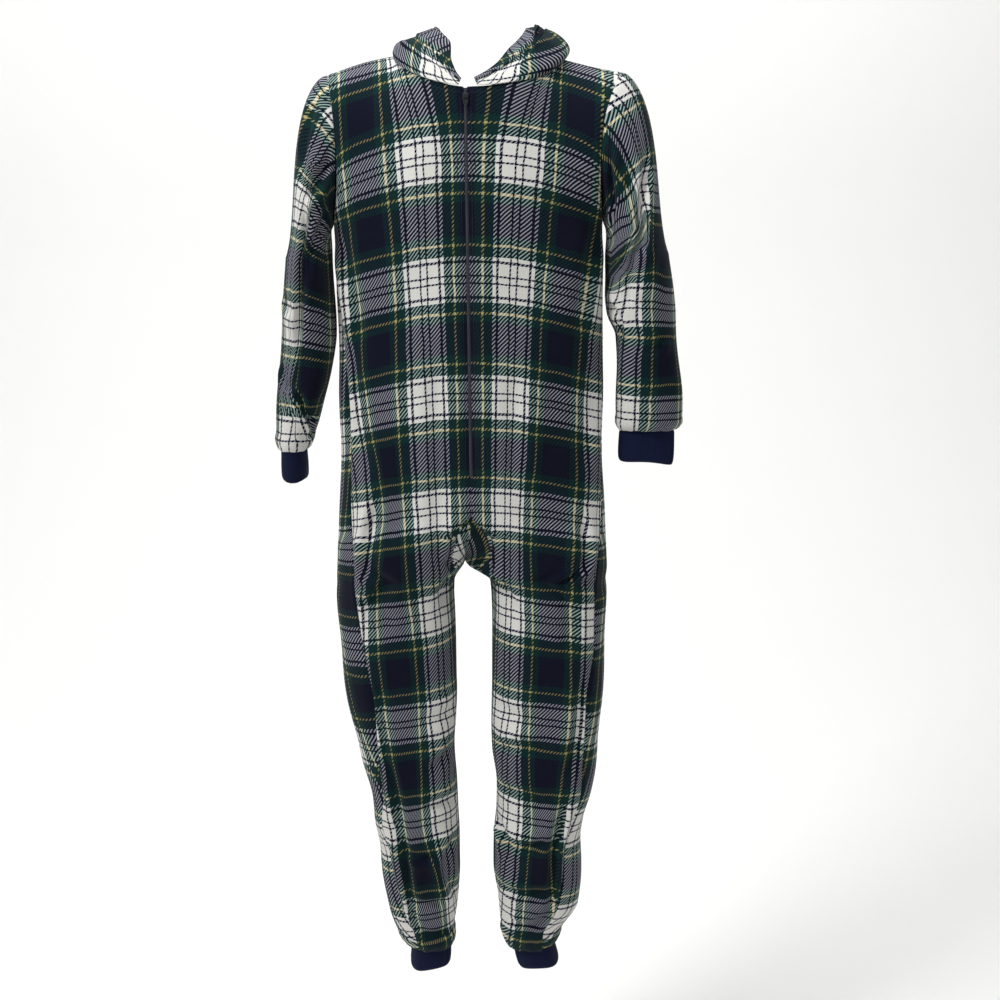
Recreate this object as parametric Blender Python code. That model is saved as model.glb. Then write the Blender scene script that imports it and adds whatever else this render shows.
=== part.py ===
"""A hooded one-piece fleece pajama, hollow as when it is worn, held up at the neck and shoulders.

Sizes are in millimetres up to the point where a mesh is made. +X is the wearer's left, the front
faces -Y and +Z is up. The origin lies between the neck ends of the two shoulder seams. Every
cloth piece is a wall through rows of points on the outer face of the garment, with its inner face
WALL behind them, and stops SEAM_TRIM short of each seam line.
"""

import math
from collections import namedtuple
from functools import lru_cache

import bmesh
import bpy
import numpy as np
from mathutils import Matrix

MM = 0.001
WALL = 2.0  # brushed fleece
RIB_WALL = 1.6  # rib knit of the cuffs
SEAM_TRIM = 0.15
ROUNDNESS = 2.3  # exponent of the oval rings: 2 is an ellipse, more is squarer

CHEST = -176.0  # level of the ring that passes under the arms, at the front
CROTCH = -677.0  # where the two legs part
HEM = -1252.0  # ankle seam
FRONT_NECK = -37.0
BACK_NECK = -52.0
SHOULDER_TIP = -19.0
NECK_FRONT = -60.0
NECK_BACK = 62.0
# The garment is turned a little on its wearer, so its two sides differ above the chest.
NECK_HALF = {"left": 120.0, "right": 90.0}
NECK_CURVE = {"left": 1.0, "right": 0.75}  # less than 1 rises sooner from the centre front
SHOULDER_NECK = {"left": -1.0, "right": 4.0}  # neck end of the shoulder seam
SHOULDER_RISE = {"left": -1.0, "right": 3.0}  # how far the seam is rounded up midway
TIP_X = {"left": 199.0, "right": 178.0}
ARMHOLE_X = {"left": 172.0, "right": 167.0}
ARMHOLE_DEPTH = 46.0
SIGN = {"left": 1.0, "right": -1.0}

FRONT_COLUMNS = 10
BACK_COLUMNS = 11
SHOULDER_COLUMNS = 5
YOKE_ROWS = 10
YOKE_BULGE = 1.7
YOKE_EASE = 3.0
# (upper level, lower level, rows) down one half of the body
ROW_SPANS = [
    (CHEST, -537.0, 9),
    (-537.0, -552.0, 1),
    (-552.0, -588.0, 1),
    (-588.0, CROTCH, 6),
    (CROTCH, -704.0, 1),
    (-704.0, -848.0, 3),
    (-848.0, -1180.0, 7),
    (-1180.0, HEM, 5),
]
# A front or back is cut in one from neck to ankle. Its wall is held in these lengths, end to end,
# each with the level of its upper end.
PANEL_LENGTHS = {"_shin": -848.0, "_thigh": -588.0, "_trunk": CHEST, "_chest": FRONT_NECK}

Side = namedtuple("Side", "inner outer seam")
Ring = namedtuple("Ring", "level front back wrap drop right left")
# Rings round one half of the body: the level at the front, the front and back faces, how far the
# ring wraps (90 stops at the body's centre, 180 closes round a leg), how much lower the ring lies
# at the side, and for each half its inner and outer reach and the angle of its side seam.
RINGS = (
    Ring(-176, -75, 75, 90, 34, Side(0, 176, 0), Side(0, 176, 0)),
    Ring(-250, -75, 74, 90, 37, Side(0, 175, -10), Side(0, 177, -2)),
    Ring(-340, -74, 74, 90, 38, Side(0, 175, -20), Side(0, 178, -4)),
    Ring(-440, -73, 76, 90, 37, Side(0, 178, -27), Side(0, 178, -8)),
    Ring(-520, -72, 80, 90, 36, Side(0, 182, -28), Side(0, 181, -13)),
    Ring(-588, -70, 84, 90, 35, Side(0, 187, -31), Side(0, 185, -20)),
    Ring(-620, -69, 85, 122, 32, Side(3, 189, -42), Side(-3, 186, -29)),
    Ring(-650, -67, 84, 152, 28, Side(8, 189, -47), Side(-8, 186, -35)),
    Ring(CROTCH, -66, 82, 180, 24, Side(12, 190, -50), Side(-12, 185, -38)),
    Ring(-704, -65, 80, 180, 22, Side(27, 190, -55), Side(23, 184, -40)),
    Ring(-760, -64, 76, 180, 20, Side(26, 188, -59), Side(25, 183, -40)),
    Ring(-850, -62, 66, 180, 18, Side(26, 181, -66), Side(24, 180, -50)),
    Ring(-940, -58, 60, 180, 16, Side(32, 166, -70), Side(24, 175, -62)),
    Ring(-1000, -56, 59, 180, 15, Side(28, 152, -71), Side(29, 166, -67)),
    Ring(-1040, -54, 58, 180, 14, Side(27, 150, -72), Side(28, 156, -70)),
    Ring(-1085, -53, 57, 180, 13, Side(25, 140, -72), Side(23, 149, -71)),
    Ring(-1128, -52, 56, 180, 12, Side(25, 137, -72), Side(22, 149, -71)),
    Ring(-1180, -48, 52, 180, 8, Side(29, 131, -72), Side(29, 146, -71)),
    Ring(-1222, -43, 47, 180, 3, Side(36, 119, -72), Side(33, 122, -71)),
    Ring(HEM, -29, 29, 180, 0, Side(41, 99, -72), Side(49, 110, -71)),
)

Arm = namedtuple("Arm", "level inner outer front back")
SLEEVE_COLUMNS = 20
CAP_ROWS = 6
# Level rings of each sleeve, from the upper arm to the wrist seam.
SLEEVES = {
    "left": (
        Arm(-250, 180, 264, -60, 60),
        Arm(-300, 181, 272, -55, 55),
        Arm(-330, 185, 276, -51, 49),
        Arm(-360, 197, 278, -48, 44),
        Arm(-395, 198, 281, -43, 39),
        Arm(-440, 197, 285, -38, 33),
        Arm(-474, 197, 286, -31, 27),
        Arm(-488, 201, 276, -15, 13),
    ),
    "right": (
        Arm(-250, 180, 241, -62, 68),
        Arm(-300, 180, 247, -58, 62),
        Arm(-350, 181, 253, -53, 57),
        Arm(-400, 188, 258, -48, 52),
        Arm(-450, 202, 262, -43, 47),
        Arm(-490, 215, 264, -38, 42),
        Arm(-508, 225, 259, -32, 36),
    ),
}
SLEEVE_ROWS = 9
SLEEVE_GIRTH = 340.0
# The left sleeve bends, so its wall is held in two lengths, each with its last row.
SLEEVE_LENGTHS = {
    "left": {"_upper": CAP_ROWS + 2, "_lower": CAP_ROWS + SLEEVE_ROWS},
    "right": {"": CAP_ROWS + SLEEVE_ROWS},
}

Cuff = namedtuple("Cuff", "centre y half_width half_depth bottom foot_x foot_rise")
# The foot of a cuff lies foot_x further out, and its outer edge foot_rise higher than its inner.
CUFFS = {
    "wrist_cuff_left": Cuff(238.5, -1.0, 37.0, 14.0, -532, -1.0, -6.0),
    "wrist_cuff_right": Cuff(242.0, 2.0, 17.0, 34.0, -550, 0.0, 0.0),
    "ankle_cuff_left": Cuff(82.0, 0.0, 30.0, 29.0, -1284, 6.0, 4.0),
    "ankle_cuff_right": Cuff(70.0, 0.0, 29.0, 29.0, -1284, 2.0, 2.0),
}
CUFF_ROWS = 3
CUFF_SWELL = 1.5  # a rib cuff is a little fuller at mid height

Rib = namedtuple("Rib", "turn heading bulge top_q top_h low_q low_h rim_q rim_h gap")
# Sections of half the hood, by their turn round the neck from the centre front. Each rises from
# the neckline, where it may bulge outwards first, to its top, falls to its low point and returns
# to the rim, measured along its heading (180 is straight back) and upwards. The pouch's two
# layers are gap apart.
HOOD_RIBS = {
    "left": (
        Rib(0, 195, 0, 1, 3, 2, 4, 3, 5, 0),
        Rib(28, 222, 0, 9, 13, 17, 19, 27, 22, 0),
        Rib(52, 236, 4, 12, 25, 26, 32, 42, 36, 0),
        Rib(76, 236, 12, 18, 35, 28, 42, 46, 42, 2),
        Rib(100, 214, 15, 22, 33, 40, 34, 60, 29, 6),
        Rib(122, 198, 8, 16, 32, 36, -30, 64, 20, 12),
        Rib(148, 186, 2, 10, 24, 28, -96, 58, 22, 16),
        Rib(180, 180, 0, 8, 11, 24, -122, 50, 6, 18),
    ),
    "right": (
        Rib(0, 195, 0, 1, 3, 2, 4, 3, 5, 0),
        Rib(28, 232, 0, 10, 14, 19, 19, 31, 22, 0),
        Rib(52, 240, 0, 12, 22, 32, 31, 57, 39, 0),
        Rib(76, 236, 2, 10, 21, 34, 28, 64, 42, 2),
        Rib(100, 216, 3, 8, 15, 42, 20, 74, 33, 6),
        Rib(122, 198, 2, 10, 20, 34, -30, 68, 20, 12),
        Rib(148, 186, 0, 10, 20, 28, -96, 58, 22, 16),
        Rib(180, 180, 0, 8, 11, 24, -122, 50, 6, 18),
    ),
}
BULGE_END = 0.25  # share of the path from neckline to rim over which a rib bulges
HOOD_ROWS = 13

ZIP_TOP = -38.5
ZIP_END = -538.0
CHAIN_HALF = 2.8
ZIP_GAP_HALF = 3.1  # the front edges stand this far from the centre along the zip
CHAIN_SINK = 0.4  # the chain's face lies this far behind the cloth's
CHAIN_THICK = 1.6
TAPE_THICK = 0.8
TAPE_WIDTH = 12.0
TAPE_GAP = 0.5
CLEAR = 0.3
SLIDER_LEVEL = -50.0
SLIDER_LENGTH = 9.0
SLIDER_HALF = 3.9
SLIDER_THICK = 1.4
BRIDGE_HALF = 1.0
BRIDGE_REACH = 3.2  # height of the bridge over the slider's plate
BRIDGE_SPAN = 5.6
BRIDGE_STRAP = 0.9
PULL_BAR = 0.55  # radius of the bar that turns under the bridge
PULL_LENGTH = 10.0  # from the bar to the tab's foot
PULL_HALF = 3.2
PULL_THICK = 1.3
PULL_ARM = 1.2
PULL_WINDOW = 1.7  # half the width of the window that the bridge passes through

Fold = namedtuple("Fold", "piece u0 z0 u1 z1 half_width depth")
# The largest folds, each a soft ridge (or trough, with a negative depth) along a line across a
# piece from share u0 of its width at level z0 to share u1 at level z1.
FOLDS = [
    Fold("front_right", 0.20, -330, 0.22, -690, 26, 5),
    Fold("front_right", 0.66, -480, 0.74, -760, 26, -7),
    Fold("front_right", 0.97, -205, 0.62, -330, 26, 6),
    Fold("front_right", 0.45, -800, 0.60, -1010, 26, -5),
    Fold("front_right", 0.10, -1120, 0.95, -1085, 24, 6),
    Fold("front_right", 0.05, -1195, 0.95, -1180, 20, 6),
    Fold("front_left", 0.26, -400, 0.24, -640, 26, 5),
    Fold("front_left", 0.97, -205, 0.70, -360, 26, 6),
    Fold("front_left", 0.60, -620, 0.66, -820, 26, -6),
    Fold("front_left", 0.10, -1110, 0.90, -1135, 24, 6),
    Fold("front_left", 0.05, -1190, 0.90, -1200, 20, 6),
    Fold("back_right", 0.40, -300, 0.46, -600, 34, 7),
    Fold("back_right", 0.66, -430, 0.60, -700, 30, 7),
    Fold("back_right", 0.55, -700, 0.50, -960, 34, -7),
    Fold("back_right", 0.15, -1090, 0.85, -1110, 26, 7),
    Fold("back_left", 0.42, -320, 0.38, -620, 34, 7),
    Fold("back_left", 0.68, -400, 0.62, -680, 30, 7),
    Fold("back_left", 0.45, -720, 0.52, -980, 34, -7),
    Fold("back_left", 0.20, -1100, 0.80, -1080, 26, 7),
    Fold("sleeve_left", 0.22, -120, 0.30, -300, 22, 5),
    Fold("sleeve_left", 0.10, -395, 0.40, -425, 20, 5),
    Fold("sleeve_right", 0.20, -150, 0.34, -300, 22, 6),
    Fold("sleeve_right", 0.08, -400, 0.42, -430, 20, 6),
    Fold("hood_left", 0.34, 0.05, 0.40, 0.60, 13, -7),
    Fold("hood_right", 0.30, 0.05, 0.36, 0.60, 13, -7),
]
FOLD_EDGE = 16.0  # folds die out this close to a piece's seams

FLEECE_RIGHT = (0.020, 0.060, 0.050)
FLEECE_LEFT = (0.024, 0.070, 0.058)
RIB_NAVY = (0.011, 0.014, 0.050)
ZIP_NAVY = (0.010, 0.011, 0.022)
ZIP_METAL = (0.030, 0.031, 0.036)


# ---------------------------------------------------------------- curves and tables


def power_cos(degrees):
    value = np.cos(np.radians(degrees))
    return np.sign(value) * np.abs(value) ** (2 / ROUNDNESS)


def power_sin(degrees):
    value = np.sin(np.radians(degrees))
    return np.sign(value) * np.abs(value) ** (2 / ROUNDNESS)


def read_table(keys, values, at):
    """Reads a smooth curve through a table that never overshoots its rows."""
    keys, values = np.asarray(keys, float), np.asarray(values, float)
    if keys[0] > keys[-1]:
        keys, values = keys[::-1], values[::-1]
    at = min(max(at, keys[0]), keys[-1])
    steps = np.diff(values) / np.diff(keys)
    slopes = np.zeros(len(keys))
    for i in range(1, len(keys) - 1):
        before, after = steps[i - 1], steps[i]
        if before * after > 0:
            slopes[i] = 2 * before * after / (before + after)
    slopes[0], slopes[-1] = steps[0], steps[-1]
    i = int(min(np.searchsorted(keys, at, side="right") - 1, len(keys) - 2))
    width = keys[i + 1] - keys[i]
    s = (at - keys[i]) / width
    return (
        values[i] * (1 + 2 * s) * (1 - s) ** 2
        + slopes[i] * width * s * (1 - s) ** 2
        + values[i + 1] * s * s * (3 - 2 * s)
        + slopes[i + 1] * width * s * s * (s - 1)
    )


@lru_cache(maxsize=None)
def column_of(rows, name, at, key="level"):
    return read_table([getattr(r, key) for r in rows], [getattr(r, name) for r in rows], at)


@lru_cache(maxsize=None)
def side_column(side, name, level):
    rows = RINGS
    if name == "inner":  # the centre line bends sharply where the legs part
        rows = [r for r in RINGS if (r.level - CROTCH) * (level - CROTCH) >= 0]
    return read_table([r.level for r in rows], [getattr(getattr(r, side), name) for r in rows], level)


def unit(vector):
    return vector / max(np.linalg.norm(vector), 1e-9)


# ---------------------------------------------------------------- the body


def ring_point(side, level, turn):
    """A point on the ring round one half of the body; turn is 0 at the side, -90 at the front."""
    outer, inner = side_column(side, "outer", level), side_column(side, "inner", level)
    wrap = column_of(RINGS, "wrap", level)
    front, back = column_of(RINGS, "front", level), column_of(RINGS, "back", level)
    radius = (outer - inner) / (1 - power_cos(wrap))
    x = outer - radius + radius * power_cos(turn)
    y = (front + back) / 2 + (back - front) / 2 * power_sin(turn)
    z = level - column_of(RINGS, "drop", level) * (x / outer) ** 2
    return np.array([SIGN[side] * x, y, z])


@lru_cache(maxsize=None)
def ring_turns(side, face, level, count):
    """Turns that divide a panel's share of the ring evenly, from its centre edge to the seam."""
    wrap = column_of(RINGS, "wrap", level)
    start = -wrap if face == "front" else wrap
    seam = side_column(side, "seam", level)
    turns = np.linspace(start, seam, 61)
    points = np.array([ring_point(side, level, t) for t in turns])
    lengths = np.concatenate([[0], np.cumsum(np.linalg.norm(np.diff(points, axis=0), axis=1))])
    return np.interp(np.linspace(0, lengths[-1], count + 1), lengths, turns)


def ring_normal(side, level, turn):
    across = ring_point(side, level, turn + 0.5) - ring_point(side, level, turn - 0.5)
    up = ring_point(side, level + 1, turn) - ring_point(side, level - 1, turn)
    return unit(np.cross(across, up)) * SIGN[side]


def centre_normal(face, level):
    """The wall's direction along the centre front or back seam, shared by both halves."""
    turn = column_of(RINGS, "wrap", level) * (-1 if face == "front" else 1)
    both = ring_normal("left", level, turn) + ring_normal("right", level, turn)
    return unit(both * np.array([0, 1, 1]))


def neck_point(side, turn):
    """The neckline seam; turn is 0 at the centre front, 90 at the shoulder, 180 at the back."""
    c, s = math.cos(math.radians(turn)), math.sin(math.radians(turn))
    if turn <= 90:
        y = NECK_FRONT * c
        z = FRONT_NECK + (SHOULDER_NECK[side] - FRONT_NECK) * (1 - c) ** NECK_CURVE[side]
    else:
        y = -NECK_BACK * c
        z = SHOULDER_NECK[side] + (BACK_NECK - SHOULDER_NECK[side]) * abs(c) ** 1.5
    return np.array([SIGN[side] * NECK_HALF[side] * s, y, z])


def armhole_point(side, turn):
    """The armhole seam; turn is 0 on the shoulder, 90 in front, 180 under the arm, 270 behind."""
    c, s = math.cos(math.radians(turn)), math.sin(math.radians(turn))
    under = ring_point(side, CHEST, 0)
    middle, half = (SHOULDER_TIP + under[2]) / 2, (SHOULDER_TIP - under[2]) / 2
    end = TIP_X[side] if c > 0 else abs(under[0])
    x = ARMHOLE_X[side] + (end - ARMHOLE_X[side]) * c * c
    return np.array([SIGN[side] * x, -ARMHOLE_DEPTH * s, middle + half * c])


def armhole_normal(side, turn):
    c, s = math.cos(math.radians(turn)), math.sin(math.radians(turn))
    return unit(np.array([SIGN[side] * (0.3 + 0.3 * max(0.0, -c)), -s, 0.95 * c]))


def top_edge(side, face, share):
    """The upper edge of a panel: the neckline, then the shoulder seam out to its tip."""
    columns = FRONT_COLUMNS if face == "front" else BACK_COLUMNS
    corner = 1 - SHOULDER_COLUMNS / columns
    if share <= corner:
        part = 90 * share / corner
        return neck_point(side, part if face == "front" else 180 - part)
    tip = np.array([SIGN[side] * TIP_X[side], 0, SHOULDER_TIP])
    part = (share - corner) / (1 - corner)
    rise = np.array([0, 0, SHOULDER_RISE[side] * math.sin(math.pi * part)])
    return neck_point(side, 90) * (1 - part) + tip * part + rise


def soft_top_edge(side, face, share):
    """The upper edge with its corner rounded away, for the cloth below it to follow."""
    shares = np.clip(share + np.linspace(-0.3, 0.3, 13) * (1 - abs(2 * share - 1)), 0, 1)
    return np.mean([top_edge(side, face, s) for s in shares], axis=0)


def centre_edge(face, v):
    """The centre front or centre back above the chest; v runs from the chest to the neckline."""
    neck_y, neck_z = (NECK_FRONT, FRONT_NECK) if face == "front" else (NECK_BACK, BACK_NECK)
    chest = ring_point("left", CHEST, -90 if face == "front" else 90)
    return np.array([0, chest[1] + (neck_y - chest[1]) * v * v, CHEST + (neck_z - CHEST) * v])


def yoke_point(side, face, share, v):
    """A patch between the chest ring, the centre edge, the armhole and the neck and shoulder."""
    turns = ring_turns(side, face, CHEST, 24)
    low = ring_point(side, CHEST, np.interp(share, np.linspace(0, 1, 25), turns))
    soft = soft_top_edge(side, face, share)
    high = soft + (top_edge(side, face, share) - soft) * v**5
    centre = centre_edge(face, v)
    arm_turn = 180 - 180 * v if face == "front" else 180 + 180 * v
    arm = armhole_point(side, arm_turn)
    corners = [centre_edge(face, 0), armhole_point(side, 180), centre_edge(face, 1)]
    corners.append(armhole_point(side, 0))
    # The cloth stays upright above the chest ring, and turns in to the armhole only close to it.
    lift = np.array([v, v**YOKE_BULGE, v])
    aside = np.array([share, share**YOKE_EASE, share])
    flat_low = (1 - aside) * corners[0] + aside * corners[1]
    flat_high = (1 - aside) * corners[2] + aside * corners[3]
    ends = (1 - aside) * centre + aside * arm
    return (1 - lift) * (low - flat_low) + lift * (high - flat_high) + ends


def yoke_normal(side, face, share, v):
    if v >= 1:
        return top_normal(side, face, share)
    if share >= 1:
        return armhole_normal(side, 180 - 180 * v if face == "front" else 180 + 180 * v)
    step = 0.02
    lo, hi = max(share - step, 0), min(share + step, 1)
    across = yoke_point(side, face, hi, v) - yoke_point(side, face, lo, v)
    up = yoke_point(side, face, share, min(v + step, 1)) - yoke_point(side, face, share, v - step)
    normal = unit(np.cross(across, up)) * (SIGN[side] if face == "front" else -SIGN[side])
    if share <= 0:
        normal[0] = 0
    return unit(normal)


def top_normal(side, face, share):
    """The wall's direction at the neckline and along the shoulder seam, shared by both pieces."""
    columns = FRONT_COLUMNS if face == "front" else BACK_COLUMNS
    corner = 1 - SHOULDER_COLUMNS / columns
    if share > corner:
        mix = (share - corner) / (1 - corner)
        return unit(neck_normal(side, 90) * (1 - mix) + armhole_normal(side, 0) * mix)
    part = 90 * share / corner
    return neck_normal(side, part if face == "front" else 180 - part)


def neck_normal(side, turn):
    c, s = math.cos(math.radians(turn)), math.sin(math.radians(turn))
    return unit(np.array([SIGN[side] * s, -1.2 * c, 0.35 + 0.5 * s]))


def fold_height(piece, across, level, width):
    """How far the folds move a point of a piece out of its plain surface."""
    height = 0.0
    for fold in FOLDS:
        if fold.piece != piece:
            continue
        start = np.array([fold.u0 * width, fold.z0])
        run = np.array([fold.u1 * width, fold.z1]) - start
        here = np.array([across * width, level]) - start
        share = min(max(here @ run / (run @ run), 0), 1)
        distance = np.linalg.norm(here - share * run) / fold.half_width
        if distance < 1:
            height += fold.depth * (1 - distance**2) ** 2
    return height


def fade(distance):
    share = min(max(distance / FOLD_EDGE, 0), 1)
    return share * share * (3 - 2 * share)


def body_levels():
    """Row levels from the ankle seam up to the neckline."""
    levels = []
    for upper, lower, rows in ROW_SPANS:
        levels += [upper + (lower - upper) * i / rows for i in range(rows)]
    levels.append(ROW_SPANS[-1][1])
    yoke = [CHEST + (FRONT_NECK - CHEST) * i / YOKE_ROWS for i in range(YOKE_ROWS, 0, -1)]
    return (yoke + levels)[::-1]


def panel(side, face):
    """Outer and inner points of one quarter of the body, rows from the ankle to the neck."""
    name = f"{face}_{side}"
    columns = FRONT_COLUMNS if face == "front" else BACK_COLUMNS
    outer, inner = [], []
    for level in body_levels():
        v = (level - CHEST) / (FRONT_NECK - CHEST)
        shares = np.linspace(0, 1, columns + 1)
        if v <= 1e-9:
            turns = ring_turns(side, face, level, columns)
            points = [ring_point(side, level, t) for t in turns]
            normals = [ring_normal(side, level, t) for t in turns]
            if level > CROTCH - 0.5:
                normals[0] = centre_normal(face, level)
            if abs(v) < 1e-9:
                normals[-1] = armhole_normal(side, 180)
        else:
            points = [yoke_point(side, face, s, v) for s in shares]
            normals = [yoke_normal(side, face, s, v) for s in shares]
        width = np.sum(np.linalg.norm(np.diff(points, axis=0), axis=1))
        row = []
        for share, point, normal in zip(shares, points, normals):
            ends = fade(share * width) * fade((1 - share) * width)
            ends *= fade(level - HEM) * fade((1 - v) * (FRONT_NECK - CHEST))
            row.append(point + normal * fold_height(name, share, level, width) * ends)
        outer.append(row)
        inner.append([p - n * WALL for p, n in zip(row, normals)])
    outer, inner = np.array(outer), np.array(inner)
    trim_centre(side, face, outer, inner)
    trim_edge(outer, inner, "last column")
    return outer, inner


def panel_ends():
    """The last row of each of a panel's lengths, from the ankle up."""
    levels = np.array(body_levels())
    return {name: int(np.argmin(abs(levels - top))) for name, top in PANEL_LENGTHS.items()}


def in_lengths(outer, inner, ends):
    """Cuts a wall's rows into lengths, each short of its ends by a seam's trim."""
    first = 0
    for name, last in ends.items():
        rows = slice(first, last + 1)
        face, back = outer[rows].copy(), inner[rows].copy()
        trim_edge(face, back, "first row")
        trim_edge(face, back, "last row")
        yield name, face, back
        first = last


def trim_centre(side, face, outer, inner):
    """Moves the centre edge off the middle: wide along the zip, and a seam's width elsewhere."""
    for i, level in enumerate(body_levels()):
        if level < CROTCH - 0.5:
            shift = unit(outer[i, 1] - outer[i, 0]) * SEAM_TRIM
        elif face == "front" and level > ZIP_END:
            shift = np.array([SIGN[side] * ZIP_GAP_HALF, 0, 0])
        else:
            shift = np.array([SIGN[side] * SEAM_TRIM, 0, 0])
            if level < CROTCH + 0.5:
                shift[1] = -SEAM_TRIM if face == "front" else SEAM_TRIM
        outer[i, 0] += shift
        inner[i, 0] += shift


def trim_edge(outer, inner, edge):
    """Pulls one edge of a piece back from its seam line, along the cloth."""
    index, inside = {"first row": (0, 1), "last row": (-1, -2)}.get(edge, (None, None))
    if edge == "last column":
        index, inside = (slice(None), -1), (slice(None), -2)
    direction = outer[inside] - outer[index]
    direction = direction / np.linalg.norm(direction, axis=-1, keepdims=True)
    outer[index] += direction * SEAM_TRIM
    inner[index] += direction * SEAM_TRIM


# ---------------------------------------------------------------- sleeves and cuffs


def arm_ring(side, level, turn):
    rows = SLEEVES[side]
    inner, outer = column_of(rows, "inner", level), column_of(rows, "outer", level)
    front, back = column_of(rows, "front", level), column_of(rows, "back", level)
    x = (inner + outer) / 2 + (outer - inner) / 2 * power_cos(turn)
    y = (front + back) / 2 - (back - front) / 2 * power_sin(turn)
    return np.array([SIGN[side] * x, y, level])


def cap_point(side, turn, share):
    """The sleeve's cap, which leaves the armhole sideways and turns down to the level rings."""
    c, s = math.cos(math.radians(turn)), math.sin(math.radians(turn))
    start, end = armhole_point(side, turn), arm_ring(side, SLEEVES[side][0].level, turn)
    reach = np.linalg.norm(end - start)
    leave = unit(np.array([SIGN[side], -0.30 * s, -0.55 + 0.15 * c])) * reach * 0.70
    arrive = unit(np.array([SIGN[side] * 0.20 * (1 + c), 0, -1])) * reach * 0.75
    h = share
    return (
        start * (1 + 2 * h) * (1 - h) ** 2
        + leave * h * (1 - h) ** 2
        + end * h * h * (3 - 2 * h)
        + arrive * h * h * (h - 1)
    )


def sleeve_point(side, turn, row):
    if row < CAP_ROWS:
        return cap_point(side, turn, row / CAP_ROWS)
    levels = SLEEVES[side]
    share = (row - CAP_ROWS) / SLEEVE_ROWS
    return arm_ring(side, levels[0].level + (levels[-1].level - levels[0].level) * share, turn)


def sleeve(side):
    name = f"sleeve_{side}"
    rows = CAP_ROWS + SLEEVE_ROWS
    turns = np.arange(SLEEVE_COLUMNS) * 360 / SLEEVE_COLUMNS
    outer = np.array([[sleeve_point(side, t, r) for t in turns] for r in range(rows + 1)])
    normals = tube_normals(outer)
    normals[0] = [armhole_normal(side, t) for t in turns]
    for r in range(1, rows):
        for k, turn in enumerate(turns):
            height = fold_height(name, turn / 360, outer[r, k, 2], SLEEVE_GIRTH)
            outer[r, k] += normals[r, k] * height * fade((rows - r) * 12)
    normals[rows] = level_normals(normals[rows])
    return outer, outer - normals * WALL


def tube_normals(rings):
    """Outward directions of a tube whose rings are rows of points."""
    across = np.roll(rings, -1, axis=1) - np.roll(rings, 1, axis=1)
    down = np.gradient(rings, axis=0)
    normals = np.cross(across, down)
    normals /= np.linalg.norm(normals, axis=2, keepdims=True)
    outward = rings - rings.mean(axis=1, keepdims=True)
    flip = np.sign(np.sum(normals * outward, axis=(1, 2), keepdims=True))
    return normals * flip


def level_normals(normals):
    """The same directions laid level, for a seam that two tubes share."""
    flat = normals * np.array([1, 1, 0])
    return flat / np.linalg.norm(flat, axis=-1, keepdims=True)


def hem_ring(name):
    """The seam ring that a cuff hangs from, and its outward directions."""
    joint, _, side = name.split("_")
    if joint == "wrist":
        turns = np.arange(SLEEVE_COLUMNS) * 360 / SLEEVE_COLUMNS
        return np.array([sleeve_point(side, t, CAP_ROWS + SLEEVE_ROWS) for t in turns])
    return np.array([ring_point(side, HEM, t) for t in hem_turns(side)])


def cuff(name):
    """A rib tube from the seam ring down to its open end."""
    spec = CUFFS[name]
    side = name.split("_")[2]
    top = hem_ring(name)
    centre = top.mean(axis=0)
    offset = (top - centre)[:, :2]
    angles = np.degrees(np.arctan2(offset[:, 1], SIGN[side] * offset[:, 0]))
    rows = []
    for i in range(CUFF_ROWS + 1):
        share = i / CUFF_ROWS
        ring = []
        for k, angle in enumerate(angles):
            swell = CUFF_SWELL * math.sin(math.pi * share)
            x = spec.centre + spec.foot_x + (spec.half_width + swell) * power_cos(angle)
            y = spec.y + (spec.half_depth + swell) * power_sin(angle)
            z = spec.bottom + spec.foot_rise * power_cos(angle) / 2
            foot = np.array([SIGN[side] * x, y, z])
            ring.append(top[k] * (1 - share) + foot * share)
            ring[-1][:2] += unit(offset[k]) * swell * (1 - share)
        rows.append(ring)
    outer = np.array(rows)
    normals = level_normals(tube_normals(outer))
    if name.startswith("ankle"):
        normals[0] = [hem_normal(side, a) for a in hem_turns(side)]
    inner = outer - normals * RIB_WALL
    trim_edge(outer, inner, "first row")
    return outer, inner


def hem_turns(side):
    front = ring_turns(side, "front", HEM, FRONT_COLUMNS)
    back = ring_turns(side, "back", HEM, BACK_COLUMNS)
    return [*front, *back[-2:0:-1]]


def hem_normal(side, turn):
    return level_normals(ring_normal(side, HEM, turn))


# ---------------------------------------------------------------- the hood


def hood_point(side, turn, share):
    """A point of half the hood, from the neckline seam (share 0) to the rim (share 1)."""
    rib = Rib(turn, *[column_of(HOOD_RIBS[side], n, turn, "turn") for n in Rib._fields[1:]])
    path = np.array(
        [
            (0, 0),
            (rib.top_q * 0.2, rib.top_h * 0.35),
            (rib.top_q, rib.top_h),
            (rib.top_q * 0.6 + rib.low_q * 0.4, rib.top_h * 0.75 + rib.low_h * 0.25),
            (rib.low_q - rib.gap * 0.1, rib.low_h * 0.8 + rib.top_h * 0.2),
            (rib.low_q + rib.gap * 0.5, rib.low_h),
            (rib.low_q + rib.gap, rib.low_h * 0.8 + rib.rim_h * 0.2),
            (rib.rim_q, rib.low_h * 0.3 + rib.rim_h * 0.7),
            (rib.rim_q - rib.gap * 0.1, rib.rim_h),
        ]
    )
    q, h = spline(path, share)
    angle = math.radians(rib.heading)
    direction = np.array([SIGN[side] * math.sin(angle), -math.cos(angle), 0])
    swell = rib.bulge * math.sin(math.pi * min(share / BULGE_END, 1))
    neck_angle = math.radians(turn)
    outward = np.array([SIGN[side] * math.sin(neck_angle), -math.cos(neck_angle), 0])
    return neck_point(side, turn) + direction * q + outward * swell + np.array([0, 0, h])


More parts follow.
